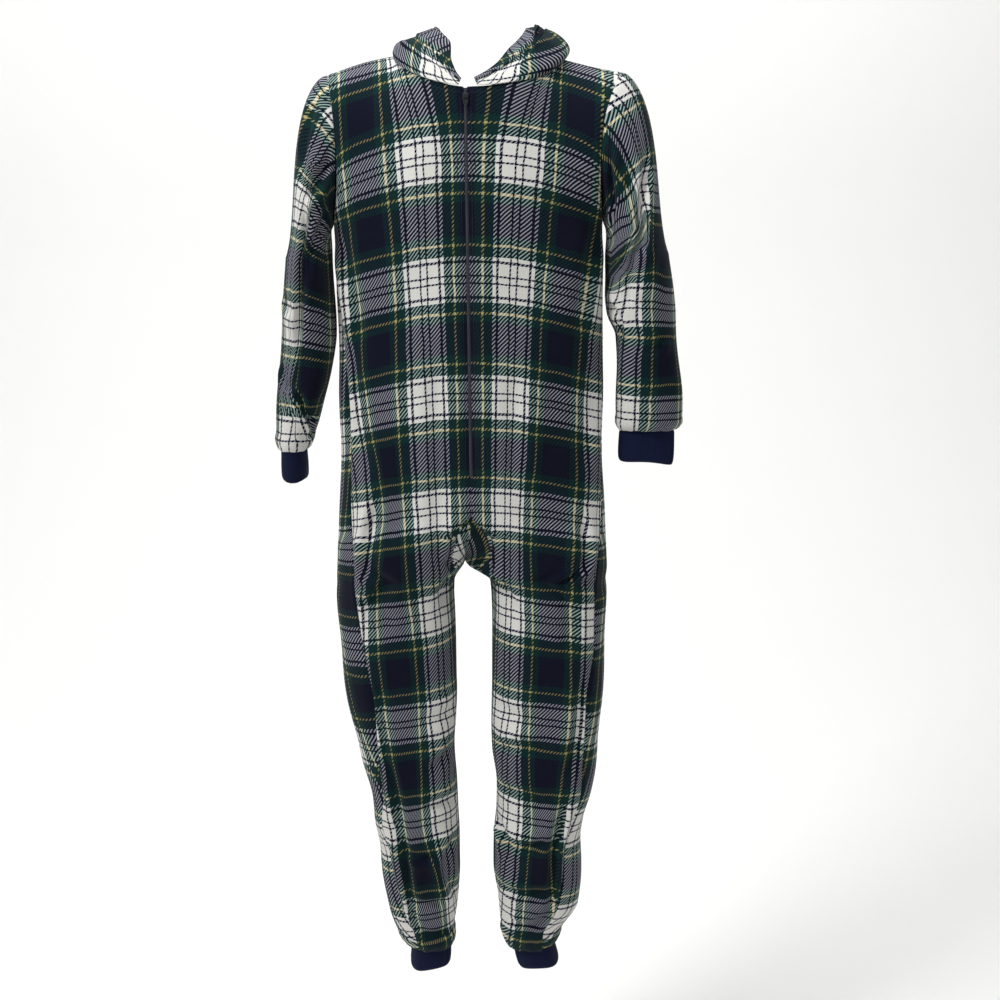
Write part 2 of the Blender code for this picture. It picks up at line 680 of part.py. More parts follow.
def spline(path, share):
    """A smooth curve through a path's points, evenly by number."""
    place = share * (len(path) - 1)
    i = int(min(place, len(path) - 2))
    s = place - i
    before, after = path[max(i - 1, 0)], path[min(i + 2, len(path) - 1)]
    m0, m1 = (path[i + 1] - before) / 2, (after - path[i]) / 2
    return (
        path[i] * (1 + 2 * s) * (1 - s) ** 2
        + m0 * s * (1 - s) ** 2
        + path[i + 1] * s * s * (3 - 2 * s)
        + m1 * s * s * (s - 1)
    )


def hood_turns():
    """Turns round the neck at the panels' own points, so that the seams meet."""
    front = np.linspace(0, 90, FRONT_COLUMNS - SHOULDER_COLUMNS + 1)
    back = np.linspace(90, 180, BACK_COLUMNS - SHOULDER_COLUMNS + 1)
    return [*front, *back[1:]]


def hood(side):
    name = f"hood_{side}"
    turns = hood_turns()
    outer, inner = [], []
    for r in range(HOOD_ROWS + 1):
        share = r / HOOD_ROWS
        row, back = [], []
        for k, turn in enumerate(turns):
            normal = hood_normal(side, turn, share)
            fold = fold_height(name, turn / 180, share * 100, 250)
            point = hood_point(side, turn, share) + normal * fold * fade((k > 0) * 99)
            row.append(point)
            back.append(point - normal * WALL)
        outer.append(row)
        inner.append(back)
    outer, inner = np.array(outer), np.array(inner)
    for grid in (outer, inner):
        grid[:, -1, 0] = SIGN[side] * SEAM_TRIM
        grid[:, 0, 0] += SIGN[side] * (ZIP_GAP_HALF + CLEAR)
    trim_edge(outer, inner, "first row")
    return outer, inner


def hood_normal(side, turn, share):
    lo, hi = max(turn - 2, 0), min(turn + 2, 180)
    around = hood_point(side, hi, share) - hood_point(side, lo, share)
    step = 0.02
    below, above = max(share - step, 0), min(share + step, 1)
    up = hood_point(side, turn, above) - hood_point(side, turn, below)
    normal = unit(np.cross(around, up)) * SIGN[side]
    if turn >= 180 or turn <= 0:
        normal[0] = 0
    return unit(normal)


# ---------------------------------------------------------------- meshes


def new_object(name, mesh, material):
    piece = bpy.data.objects.new(name, mesh)
    bpy.data.collections["Fleece onesie"].objects.link(piece)
    piece.data.materials.append(material)
    return piece


def new_material(name, colour, roughness, metallic=0.0):
    material = bpy.data.materials.new(name)
    material.use_nodes = True
    shader = material.node_tree.nodes["Principled BSDF"]
    shader.inputs["Base Color"].default_value = (*colour, 1)
    shader.inputs["Roughness"].default_value = roughness
    shader.inputs["Metallic"].default_value = metallic
    return material


def wall(name, outer, inner, material, closed=False):
    """A cloth wall between two grids of points; a closed one is a tube round its columns."""
    bm = bmesh.new()
    rows, columns = outer.shape[:2]
    skins = [
        [[bm.verts.new(p * MM) for p in row] for row in grid] for grid in (outer, inner)
    ]
    last = columns if closed else columns - 1
    for r in range(rows - 1):
        for c in range(last):
            d = (c + 1) % columns
            for skin in skins:
                bm.faces.new([skin[r][c], skin[r][d], skin[r + 1][d], skin[r + 1][c]])
    face, back = skins
    for r in (0, rows - 1):
        for c in range(last):
            d = (c + 1) % columns
            bm.faces.new([face[r][c], face[r][d], back[r][d], back[r][c]])
    if not closed:
        for c in (0, columns - 1):
            for r in range(rows - 1):
                bm.faces.new([face[r][c], face[r + 1][c], back[r + 1][c], back[r][c]])
    bmesh.ops.recalc_face_normals(bm, faces=bm.faces)
    mesh = bpy.data.meshes.new(name)
    bm.to_mesh(mesh)
    bm.free()
    mesh.shade_smooth()
    mesh.set_sharp_from_angle(angle=math.radians(50))
    return new_object(name, mesh, material)


# ---------------------------------------------------------------- the zip


def front_line(level):
    """The centre front's outer point and outward direction at a level."""
    v = (level - CHEST) / (FRONT_NECK - CHEST)
    if v > 0:
        point, step = centre_edge("front", v), centre_edge("front", v + 0.01)
        up = unit(step - point)
    else:
        point = ring_point("left", level, -90)
        up = unit(ring_point("left", level + 2, -90) - point)
    return point, np.array([0, -up[2], up[1]])


def zip_levels():
    return [z for z in body_levels() if ZIP_END < z < ZIP_TOP]


def zip_chain(material):
    """The coil chain between the front edges, sunk a little behind the cloth's outer face."""
    outer, inner = [], []
    for level in [ZIP_END, *zip_levels(), ZIP_TOP]:
        point, normal = front_line(level)
        point = point - normal * CHAIN_SINK
        outer.append([point + np.array([x, 0, 0]) for x in (-CHAIN_HALF, 0, CHAIN_HALF)])
        inner.append([p - normal * CHAIN_THICK for p in outer[-1]])
    return wall("zip_chain", np.array(outer), np.array(inner), material)


def zip_tape(side, cloth, material):
    """The tape behind a front edge, made from that panel's own points moved back."""
    levels = body_levels()
    outer, inner = [], []
    for level in [ZIP_END, *zip_levels(), ZIP_TOP]:
        normal = front_line(level)[1]
        face = []
        for x in (SEAM_TRIM, ZIP_GAP_HALF, TAPE_WIDTH):
            line = [[np.interp(x, abs(row[:2, 0]), row[:2, axis]) for axis in (1, 2)] for row in cloth]
            y, z = [np.interp(level, levels, column) for column in np.transpose(line)]
            face.append(np.array([SIGN[side] * x, y, z]) - normal * (WALL + TAPE_GAP))
        outer.append(face)
        inner.append([p - normal * TAPE_THICK for p in face])
    return wall(f"zip_tape_{side}", np.array(outer), np.array(inner), material)


def box_mesh(size, place, bevel):
    bm = bmesh.new()
    bmesh.ops.create_cube(bm, size=1)
    bmesh.ops.scale(bm, vec=[s * MM for s in size], verts=bm.verts)
    bmesh.ops.bevel(bm, geom=bm.edges, offset=bevel * MM, segments=1, affect="EDGES")
    bmesh.ops.translate(bm, vec=[p * MM for p in place], verts=bm.verts)
    return bm


def join_parts(name, parts, material):
    """Unites closed parts into one body with Boolean modifiers, and applies them."""
    objects = []
    for i, bm in enumerate(parts):
        mesh = bpy.data.meshes.new(f"{name}_part")
        bm.to_mesh(mesh)
        bm.free()
        objects.append(new_object(f"{name}_part_{i}", mesh, material))
    base = objects[0]
    for other in objects[1:]:
        union = base.modifiers.new("Union", "BOOLEAN")
        union.operation = "UNION"
        union.object = other
    bpy.context.view_layer.update()
    mesh = bpy.data.meshes.new_from_object(base.evaluated_get(bpy.context.evaluated_depsgraph_get()))
    for piece in objects:
        bpy.data.objects.remove(piece)
    mesh.name = name
    return new_object(name, mesh, material)


def slider_frame():
    """Where the slider sits: its centre on the cloth's face and its lean."""
    point, normal = front_line(SLIDER_LEVEL)
    return point * MM, math.atan2(normal[2], -normal[1])


def zip_slider(material):
    """The slider's plate, its keel down to the chain, and the bridge for the pull."""
    face_y = -(CLEAR + SLIDER_THICK)
    plate = (2 * SLIDER_HALF, SLIDER_THICK, SLIDER_LENGTH)
    keel_foot = CHAIN_SINK - CLEAR
    keel_deep = keel_foot + CLEAR + SLIDER_THICK / 2
    keel = (2 * CHAIN_HALF - 0.8, keel_deep, SLIDER_LENGTH - 1.4)
    strap = (2 * BRIDGE_HALF, BRIDGE_STRAP, BRIDGE_SPAN)
    leg = (2 * BRIDGE_HALF - 0.2, BRIDGE_REACH, BRIDGE_STRAP)
    parts = [
        box_mesh(plate, (0, face_y + SLIDER_THICK / 2, 0), 0.4),
        box_mesh(keel, (0, keel_foot - keel_deep / 2, 0), 0.1),
        box_mesh(strap, (0, face_y - BRIDGE_REACH + BRIDGE_STRAP / 2, 0), 0.2),
    ]
    for end in (-1, 1):
        leg_z = end * (BRIDGE_SPAN / 2 - BRIDGE_STRAP / 2 - 0.1)
        parts.append(box_mesh(leg, (0, face_y - BRIDGE_REACH / 2 + 0.3, leg_z), 0.15))
    return seat_on_front(join_parts("zip_slider", parts, material))


def pull_axis():
    """The pull bar's height in front of the cloth's face, under the middle of the bridge."""
    return CLEAR + SLIDER_THICK + (BRIDGE_REACH - BRIDGE_STRAP) / 2


def zip_pull(material):
    """The pull tab: a bar under the bridge, a window round its strap and a round-ended tab."""
    parts = []
    bar = bmesh.new()
    bmesh.ops.create_cone(
        bar,
        cap_ends=True,
        segments=10,
        radius1=PULL_BAR * MM,
        radius2=PULL_BAR * MM,
        depth=(2 * PULL_HALF - 1.2) * MM,
    )
    rotate(bar, "Y", 90)
    parts.append(bar)
    arm_top, arm_foot = 0.5, PULL_HALF - PULL_LENGTH
    arm_size = (PULL_ARM, PULL_THICK - 0.2, arm_top - arm_foot)
    for end in (-1, 1):
        place = (end * (PULL_WINDOW + PULL_ARM / 2), 0, (arm_top + arm_foot) / 2)
        parts.append(box_mesh(arm_size, place, 0.15))
    disc = bmesh.new()
    bmesh.ops.create_cone(
        disc,
        cap_ends=True,
        segments=20,
        radius1=PULL_HALF * MM,
        radius2=PULL_HALF * MM,
        depth=PULL_THICK * MM,
    )
    rotate(disc, "X", 90)
    bmesh.ops.translate(disc, vec=(0, 0, -(PULL_LENGTH - PULL_HALF) * MM), verts=disc.verts)
    parts.append(disc)
    pull = join_parts("zip_pull", parts, material)
    return seat_on_front(pull, pull_axis())


def rotate(bm, axis, degrees):
    turn = Matrix.Rotation(math.radians(degrees), 3, axis)
    bmesh.ops.rotate(bm, cent=(0, 0, 0), matrix=turn, verts=bm.verts)


def seat_on_front(piece, height=0.0):
    """Places a piece on the centre front at the slider's level, leaning with the cloth."""
    point, lean = slider_frame()
    out = np.array([0, -math.cos(lean), math.sin(lean)]) * height * MM
    piece.location = point + out
    piece.rotation_euler = (-lean, 0, 0)
    return piece


# ---------------------------------------------------------------- the garment


def main():
    for thing in list(bpy.data.objects):
        bpy.data.objects.remove(thing)
    bpy.context.scene.collection.children.link(bpy.data.collections.new("Fleece onesie"))
    fleece = {
        "left": new_material("Tartan fleece, left pieces", FLEECE_LEFT, 0.95),
        "right": new_material("Tartan fleece, right pieces", FLEECE_RIGHT, 0.95),
    }
    rib = new_material("Navy rib knit", RIB_NAVY, 0.9)
    tape = new_material("Navy woven zip tape", ZIP_NAVY, 0.85)
    coil = new_material("Navy zip coil", ZIP_NAVY, 0.45)
    metal = new_material("Dark lacquered zip metal", ZIP_METAL, 0.35, 0.6)
    for side in ("left", "right"):
        front = panel(side, "front")
        for face, grids in (("front", front), ("back", panel(side, "back"))):
            for length, outer, inner in in_lengths(*grids, panel_ends()):
                wall(f"{face}_{side}{length}", outer, inner, fleece[side])
        for length, outer, inner in in_lengths(*sleeve(side), SLEEVE_LENGTHS[side]):
            wall(f"sleeve_{side}{length}", outer, inner, fleece[side], closed=True)
        wall(f"hood_{side}", *hood(side), fleece[side])
        zip_tape(side, front[0], tape)
    for name in CUFFS:
        wall(name, *cuff(name), rib, closed=True)
    zip_chain(coil)
    zip_slider(metal)
    zip_pull(metal)


main()
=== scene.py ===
"""The hooded fleece onesie in real materials, over the frame of its CAD model.

Every cloth piece is a thin shell through the same points as its solid, at a finer pitch, with its
creases laid in by hand. Sizes are in millimetres until a mesh is made. The tartan is worked out
from each piece's own threads: u counts repeats across the warp and v repeats up the weft.
"""

import math
from collections import namedtuple
from functools import lru_cache

import bpy
import numpy as np
from mathutils import Matrix


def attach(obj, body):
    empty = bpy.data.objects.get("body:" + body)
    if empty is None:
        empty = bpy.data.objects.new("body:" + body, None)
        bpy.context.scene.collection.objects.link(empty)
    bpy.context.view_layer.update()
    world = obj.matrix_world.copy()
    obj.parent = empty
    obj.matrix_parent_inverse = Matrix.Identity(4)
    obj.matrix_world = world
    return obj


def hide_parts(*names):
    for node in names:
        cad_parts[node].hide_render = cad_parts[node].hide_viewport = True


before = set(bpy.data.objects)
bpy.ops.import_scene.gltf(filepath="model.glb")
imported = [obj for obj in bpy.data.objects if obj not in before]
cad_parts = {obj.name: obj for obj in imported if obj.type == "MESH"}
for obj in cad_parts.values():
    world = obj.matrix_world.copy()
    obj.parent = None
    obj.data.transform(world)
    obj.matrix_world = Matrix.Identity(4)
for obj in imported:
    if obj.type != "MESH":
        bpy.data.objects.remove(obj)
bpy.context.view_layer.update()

bl_info = {
    "name": "Fleece onesie",
    "version": (1, 0, 0),
    "blender": (4, 5, 0),
    "location": "3D View > Sidebar > Onesie",
    "description": "Builds a hooded tartan fleece onesie, its zip and a plain stage",
    "category": "Object",
}

MM = 0.001
ROUNDNESS = 2.3  # exponent of the oval rings
SIGN = {"left": 1.0, "right": -1.0}

CHEST = -176.0
CROTCH = -677.0
HEM = -1252.0
FRONT_NECK = -37.0
BACK_NECK = -52.0
SHOULDER_TIP = -19.0
NECK_FRONT = -60.0
NECK_BACK = 62.0
NECK_HALF = {"left": 120.0, "right": 90.0}
NECK_CURVE = {"left": 1.0, "right": 0.75}
SHOULDER_NECK = {"left": -1.0, "right": 4.0}
SHOULDER_RISE = {"left": -1.0, "right": 3.0}
TIP_X = {"left": 199.0, "right": 178.0}
ARMHOLE_X = {"left": 172.0, "right": 167.0}
ARMHOLE_DEPTH = 46.0
# Share of a panel's upper edge that is neckline; the rest is the shoulder seam.
NECK_SHARE = {"front": 0.5, "back": 6 / 11}
YOKE_BULGE = 1.7
YOKE_EASE = 3.0

Side = namedtuple("Side", "inner outer seam")
Ring = namedtuple("Ring", "level front back wrap drop right left")
RINGS = (
    Ring(-176, -75, 75, 90, 34, Side(0, 176, 0), Side(0, 176, 0)),
    Ring(-250, -75, 74, 90, 37, Side(0, 175, -10), Side(0, 177, -2)),
    Ring(-340, -74, 74, 90, 38, Side(0, 175, -20), Side(0, 178, -4)),
    Ring(-440, -73, 76, 90, 37, Side(0, 178, -27), Side(0, 178, -8)),
    Ring(-520, -72, 80, 90, 36, Side(0, 182, -28), Side(0, 181, -13)),
    Ring(-588, -70, 84, 90, 35, Side(0, 187, -31), Side(0, 185, -20)),
    Ring(-620, -69, 85, 122, 32, Side(3, 189, -42), Side(-3, 186, -29)),
    Ring(-650, -67, 84, 152, 28, Side(8, 189, -47), Side(-8, 186, -35)),
    Ring(CROTCH, -66, 82, 180, 24, Side(12, 190, -50), Side(-12, 185, -38)),
    Ring(-704, -65, 80, 180, 22, Side(27, 190, -55), Side(23, 184, -40)),
    Ring(-760, -64, 76, 180, 20, Side(26, 188, -59), Side(25, 183, -40)),
    Ring(-850, -62, 66, 180, 18, Side(26, 181, -66), Side(24, 180, -50)),
    Ring(-940, -58, 60, 180, 16, Side(32, 166, -60), Side(24, 175, -50)),
    Ring(-1000, -56, 59, 180, 15, Side(28, 152, -50), Side(29, 166, -46)),
    Ring(-1040, -54, 58, 180, 14, Side(27, 150, -42), Side(28, 156, -50)),
    Ring(-1085, -53, 57, 180, 13, Side(25, 140, -44), Side(23, 149, -54)),
    Ring(-1128, -52, 56, 180, 12, Side(25, 137, -51), Side(22, 149, -58)),
    Ring(-1180, -48, 52, 180, 8, Side(29, 131, -62), Side(29, 146, -67)),
    Ring(-1222, -43, 47, 180, 3, Side(36, 119, -72), Side(33, 122, -71)),
    Ring(HEM, -29, 29, 180, 0, Side(41, 99, -72), Side(49, 110, -71)),
)

Arm = namedtuple("Arm", "level inner outer front back")
CAP_ROWS = 6
SLEEVE_ROWS = 9
SLEEVES = {
    "left": (
        Arm(-250, 180, 264, -60, 60),
        Arm(-300, 181, 272, -55, 55),
        Arm(-330, 185, 276, -51, 49),
        Arm(-360, 197, 278, -48, 44),
        Arm(-395, 198, 281, -43, 39),
        Arm(-440, 197, 285, -38, 33),
        Arm(-474, 197, 286, -31, 27),
        Arm(-488, 201, 276, -15, 13),
    ),
    "right": (
        Arm(-250, 180, 241, -62, 68),
        Arm(-300, 180, 247, -58, 62),
        Arm(-350, 181, 253, -53, 57),
        Arm(-400, 188, 258, -48, 52),
        Arm(-450, 202, 262, -43, 47),
        Arm(-490, 215, 264, -38, 42),
        Arm(-508, 225, 259, -32, 36),
    ),
}

Cuff = namedtuple("Cuff", "centre y half_width half_depth bottom foot_x foot_rise")
CUFFS = {
    "wrist_cuff_left": Cuff(238.5, -1.0, 37.0, 14.0, -532, -1.0, -6.0),
    "wrist_cuff_right": Cuff(242.0, 2.0, 17.0, 34.0, -550, 0.0, 0.0),
    "ankle_cuff_left": Cuff(82.0, 0.0, 30.0, 29.0, -1288, 6.0, 4.0),
    "ankle_cuff_right": Cuff(70.0, 0.0, 29.0, 29.0, -1288, 2.0, -6.0),
}
CUFF_SWELL = 1.5
CUFF_SWAY = 1.2
CUFF_HEIGHT = 40.0
CUFF_WALL = 1.6
CUFF_ROLL = 0.9

Rib = namedtuple("Rib", "turn heading bulge top_q top_h low_q low_h rim_q rim_h gap")
HOOD_RIBS = {
    "left": (
        Rib(0, 195, 0, 1, 3, 2, 4, 3, 5, 0),
        Rib(28, 222, 0, 9, 13, 17, 19, 27, 22, 0),
        Rib(52, 236, 4, 12, 25, 26, 32, 42, 36, 0),
        Rib(76, 236, 12, 18, 35, 28, 42, 46, 42, 2),
        Rib(100, 214, 15, 22, 33, 40, 34, 60, 29, 6),
        Rib(122, 198, 8, 16, 32, 36, -30, 64, 20, 12),
        Rib(148, 186, 2, 10, 24, 28, -96, 58, 22, 16),
        Rib(180, 180, 0, 8, 11, 24, -122, 50, 6, 18),
    ),
    "right": (
        Rib(0, 195, 0, 1, 3, 2, 4, 3, 5, 0),
        Rib(28, 232, 0, 10, 14, 19, 19, 31, 22, 0),
        Rib(52, 240, 0, 12, 22, 32, 31, 57, 39, 0),
        Rib(76, 236, 2, 10, 21, 34, 28, 64, 42, 2),
        Rib(100, 216, 3, 8, 15, 42, 20, 74, 33, 6),
        Rib(122, 198, 2, 10, 20, 34, -30, 68, 20, 12),
        Rib(148, 186, 0, 10, 20, 28, -96, 58, 22, 16),
        Rib(180, 180, 0, 8, 11, 24, -122, 50, 6, 18),
    ),
}
BULGE_END = 0.25

ZIP_TOP = -38.5
ZIP_END = -538.0
ZIP_GAP_HALF = 2.3  # half the slot between the two folded edges of the fronts
HOOD_GAP_HALF = 2.6
CENTRE_SEAM_HALF = 0.15
CHAIN_HALF = 2.1
CHAIN_SINK = 1.2
STRIP_THICK = 0.8

PANEL_NODES = ("chest", "trunk", "thigh", "shin")
SLEEVE_NODES = {"left": ["sleeve_left_upper", "sleeve_left_lower"], "right": ["sleeve_right"]}

# ---------------------------------------------------------------- the tartan's threads

# One repeat of the sett, the same across the warp and up the weft, from one edge of the white
# group: (colour, width in mm).
SETT = [
    ("white", 4.4),
    ("navy", 3.6),
    ("white", 15.1),
    ("navy", 2.1),
    ("white", 7.4),
    ("navy", 2.1),
    ("white", 15.1),
    ("navy", 3.6),
    ("white", 4.4),
    ("green", 12.9),
    ("yellow", 3.4),
    ("green", 9.4),
    ("navy", 42.7),
    ("green", 9.4),
    ("yellow", 3.4),
    ("green", 12.9),
]
REPEAT = 152.0
WHITE_CENTRE = 28.9
ZIP_THREAD = -63.3  # the warp thread at the centre front, counted from the white group's centre
ZIP_THREAD_ENDS = 60.0  # how far above the crotch the centre front stops holding that thread
BACK_MIDDLE = 90.0  # distance from the centre at which the backs' threads match the fronts'
YOKE_TAKE_UP = 0.07  # share of the yoke's rise that its rows lose at the armhole
ROW_START = -124.0  # level of the first white row on the centre front
BACK_ROW_SHIFT = {"left": 12.0, "right": 32.0}  # the backs are cut a little off the fronts

# Where warp threads lie on the fronts: the distance from the middle, at each level, of a thread
# counted in mm from the white group's centre.
FRONT_THREADS = {
    "left": {
        0.0: ((-37, 97), (-122, 68), (-278, 58), (-428, 53), (-579, 48), (-727, 47), (-884, 43),
              (-1046, 40), (-1204, 30), (-1252, 34)),
        43.5: ((-37, 124), (-178, 107), (-258, 100), (-329, 94), (-414, 89), (-496, 85), (-560, 80),
               (-658, 78), (-698, 80), (-765, 80), (-853, 76), (-928, 74), (-1031, 78),
               (-1116, 71), (-1235, 62), (-1252, 61)),
        108.4: ((-37, 176), (-178, 165), (-245, 156), (-323, 147), (-419, 141), (-490, 141),
                (-568, 137), (-670, 133), (-775, 133), (-880, 130), (-922, 126), (-1000, 116),
                (-1092, 106),
                (-1172, 109), (-1252, 92)),
    },
    "right": {
        0.0: ((-37, 84), (-120, 59), (-276, 57), (-423, 53), (-577, 51), (-726, 48), (-886, 44),
              (-1041, 40), (-1160, 34), (-1252, 30)),
        43.5: ((-37, 112), (-178, 100), (-257, 96), (-334, 95), (-411, 96), (-507, 93), (-589, 91),
               (-673, 89), (-763, 82), (-844, 78), (-925, 77), (-1029, 77), (-1130, 58),
               (-1187, 52), (-1252, 50)),
        108.4: ((-37, 164), (-178, 152), (-229, 147), (-305, 144), (-434, 135), (-527, 121),
                (-580, 118), (-620, 123), (-700, 130), (-748, 131), (-861, 125), (-951, 113),
                (-1067, 98), (-1180, 88), (-1252, 78)),
    },
}

# Sleeve threads. For rows of the sleeve from the armhole (0) to the wrist seam (15): the warp
# thread, in mm from the white group's centre, at turns round the arm; then how far below the
# threads' own level the cloth has drooped. Turn 0 is outwards, 90 in front and 180 under the arm.
SLEEVE_WARP = {
    "left": {
        0.0: ((-180, 235), (-90, 136), (0, 46), (20, 27), (50, -1), (72, -22), (77, -29), (97, -43.5),
              (150, -104), (180, -136)),
        1.8: ((-180, 245), (-90, 148), (0, 58), (28, 29), (56, -5), (73, -23), (77, -29), (93, -43.5),
              (150, -106), (180, -138)),
        2.7: ((-180, 252), (-90, 152), (0, 66), (30, 34), (50, 10), (58, -5), (72, -24), (89, -43.5),
              (150, -112), (180, -142)),
        3.3: ((-180, 255), (-90, 155), (0, 77), (35, 44), (50, 29), (64, 18), (72, -26), (95, -50),
              (150, -118), (180, -145)),
        4.5: ((-180, 262), (-90, 165), (0, 95), (35, 63), (50, 47), (72, 20), (80, -30), (120, -80),
              (150, -112), (180, -140)),
        5.5: ((-180, 266), (-90, 175), (0, 108), (35, 78), (65, 47), (80, 31), (95, 14), (120, -62),
              (150, -95), (180, -125)),
        7.0: ((-180, 262), (-90, 180), (0, 125), (35, 92), (65, 56), (80, 38), (95, 22), (120, 0),
              (150, -30), (180, -60)),
        8.5: ((-180, 240), (-90, 180), (0, 138), (35, 97), (65, 62), (80, 46), (95, 27), (120, 6),
              (150, -8), (180, -30)),
        11.0: ((-180, 215), (-90, 175), (0, 140), (35, 104), (65, 70), (80, 54), (95, 37), (120, 18),
               (150, 4), (180, -14)),
        15.0: ((-180, 205), (-90, 170), (0, 145), (35, 112), (65, 80), (80, 60), (95, 42), (120, 20),
               (150, 5), (180, -12)),
    },
    "right": {
        0.0: ((-180, 235), (-90, 145), (0, 78), (33, 43.5), (54, 29), (73, 4.8), (82, -4.8), (99, -23),
              (120, -46), (150, -76), (180, -106)),
        1.5: ((-180, 235), (-90, 145), (0, 78), (32, 43.5), (60, 29), (76, 4.8), (84, -4.8), (94, -23),
              (120, -50), (150, -80), (180, -110)),
        2.7: ((-180, 230), (-90, 142), (0, 70), (36, 40), (58, 27), (68, 4.8), (74, -5), (80, -23),
              (94, -48), (120, -76), (150, -100), (180, -124)),
        3.5: ((-180, 216), (-90, 140), (0, 66), (20, 48), (40, 29), (62, 3), (84, -24), (90, -56),
              (120, -84), (150, -105), (180, -128)),
        10.0: ((-180, 216), (-90, 140), (0, 66), (20, 48), (40, 29), (62, 2), (84, -26), (90, -58),
               (120, -84), (150, -106), (180, -126)),
        11.8: ((-180, 214), (-90, 138), (0, 64), (20, 46), (40, 29), (58, 0), (72, -29), (84, -43.5),
               (100, -65), (130, -95), (150, -108), (180, -128)),
        12.6: ((-180, 212), (-90, 136), (0, 66), (20, 47), (40, 29), (62, 5), (84, -22), (92, -29),
               (106, -43.5), (128, -80), (140, -108), (180, -130)),
        13.3: ((-180, 210), (-90, 134), (0, 70), (20, 50), (44, 29), (70, 12), (88, 5), (100, -22),
               (120, -36), (130, -43.5), (137, -108), (180, -132)),
        14.5: ((-180, 200), (-90, 130), (0, 72), (20, 52), (44, 29), (70, 14), (90, 1), (120, -10),
               (152, -24), (165, -29), (180, -45)),
    },
}
SLEEVE_DROOP = {
    "left": {
        0.0: ((-180, 80), (-90, 40), (0, 21), (28, 23), (56, 30), (72, 38), (97, 65), (115, 70),
              (150, 76), (180, 80)),
        0.8: ((-180, 76), (-90, 36), (0, 14), (28, 14), (56, 22), (72, 31), (97, 52), (115, 60),
              (150, 70), (180, 76)),
        1.5: ((-180, 70), (-90, 34), (0, 8), (28, 6), (56, 18), (72, 26), (97, 40), (115, 52),
              (150, 64), (180, 70)),
        2.6: ((-180, 64), (-90, 34), (0, 6), (28, 4), (53, 12), (68, 20), (78, 26), (96, 38), (115, 50),
              (150, 60), (180, 66)),
        3.3: ((-180, 64), (-90, 36), (0, 8), (30, 5), (50, 3), (68, 5), (78, 27), (96, 42), (115, 46),
              (150, 62), (180, 66)),
        4.5: ((-180, 60), (-90, 34), (0, 10), (50, 6), (68, 0), (78, 20), (96, 45), (115, 50),
              (150, 64), (180, 66)),
        6.0: ((-180, 50), (-90, 30), (0, 14), (50, 8), (68, 2), (78, 6), (96, 20), (115, 40), (150, 64),
              (180, 60)),
        7.0: ((-180, 40), (-90, 25), (0, 14), (50, 8), (78, 0), (96, 0), (115, 5), (150, 50),
              (180, 50)),
        8.0: ((-180, 10), (-90, 12), (0, 12), (50, 8), (78, 0), (115, 0), (150, 5), (180, 10)),
        10.0: ((-180, 0), (-90, 3), (30, 3), (50, 0), (180, 0)),
        15.0: ((-180, 0), (180, 0)),
    },
    "right": {
        0.0: ((-180, 100), (-90, 50), (0, 22), (20, 34), (39, 42), (52, 39), (71, 49), (84, 52),
              (106, 78), (124, 95), (180, 100)),
        0.7: ((-180, 92), (-90, 46), (0, 20), (20, 26), (39, 32), (52, 30), (71, 38), (84, 46),
              (106, 66), (124, 84), (180, 92)),
        1.5: ((-180, 82), (-90, 42), (0, 16), (39, 22), (51, 24), (71, 33), (84, 42), (106, 55),
              (124, 70), (150, 80), (180, 82)),
        2.7: ((-180, 76), (-90, 38), (0, 14), (48, 20), (71, 31), (94, 41), (106, 51), (124, 66),
              (150, 78), (180, 76)),
        4.0: ((-180, 60), (-90, 34), (0, 16), (50, 18.5), (84, 24), (94, 40), (120, 56), (150, 66),
              (180, 62)),
        8.5: ((-180, 44), (-90, 28), (0, 18), (63, 20.5), (94, 22.5), (120, 28), (150, 38), (180, 42)),
        13.0: ((-180, 26), (-90, 22), (0, 21), (90, 21.5), (150, 24), (180, 26)),
        15.0: ((-180, 24), (0, 21.5), (180, 24)),
    },
}
SLEEVE_ROW_START = -161.0  # level of the second white row on a sleeve

# Where the white group's centre runs up each half of the hood: (share of the way up, turn).
HOOD_MIDDLE = {
    "left": ((0, 15), (0.2, 22), (0.5, 38), (0.75, 54), (1, 68)),
    "right": ((0, 17), (0.2, 25), (0.5, 42), (0.75, 56), (1, 68)),
}
HOOD_START = {"left": 6.5, "right": 4.5}  # turn at which each half's front edge leaves the zip free

# ---------------------------------------------------------------- the folds

Fold = namedtuple("Fold", "path depth width ridge")
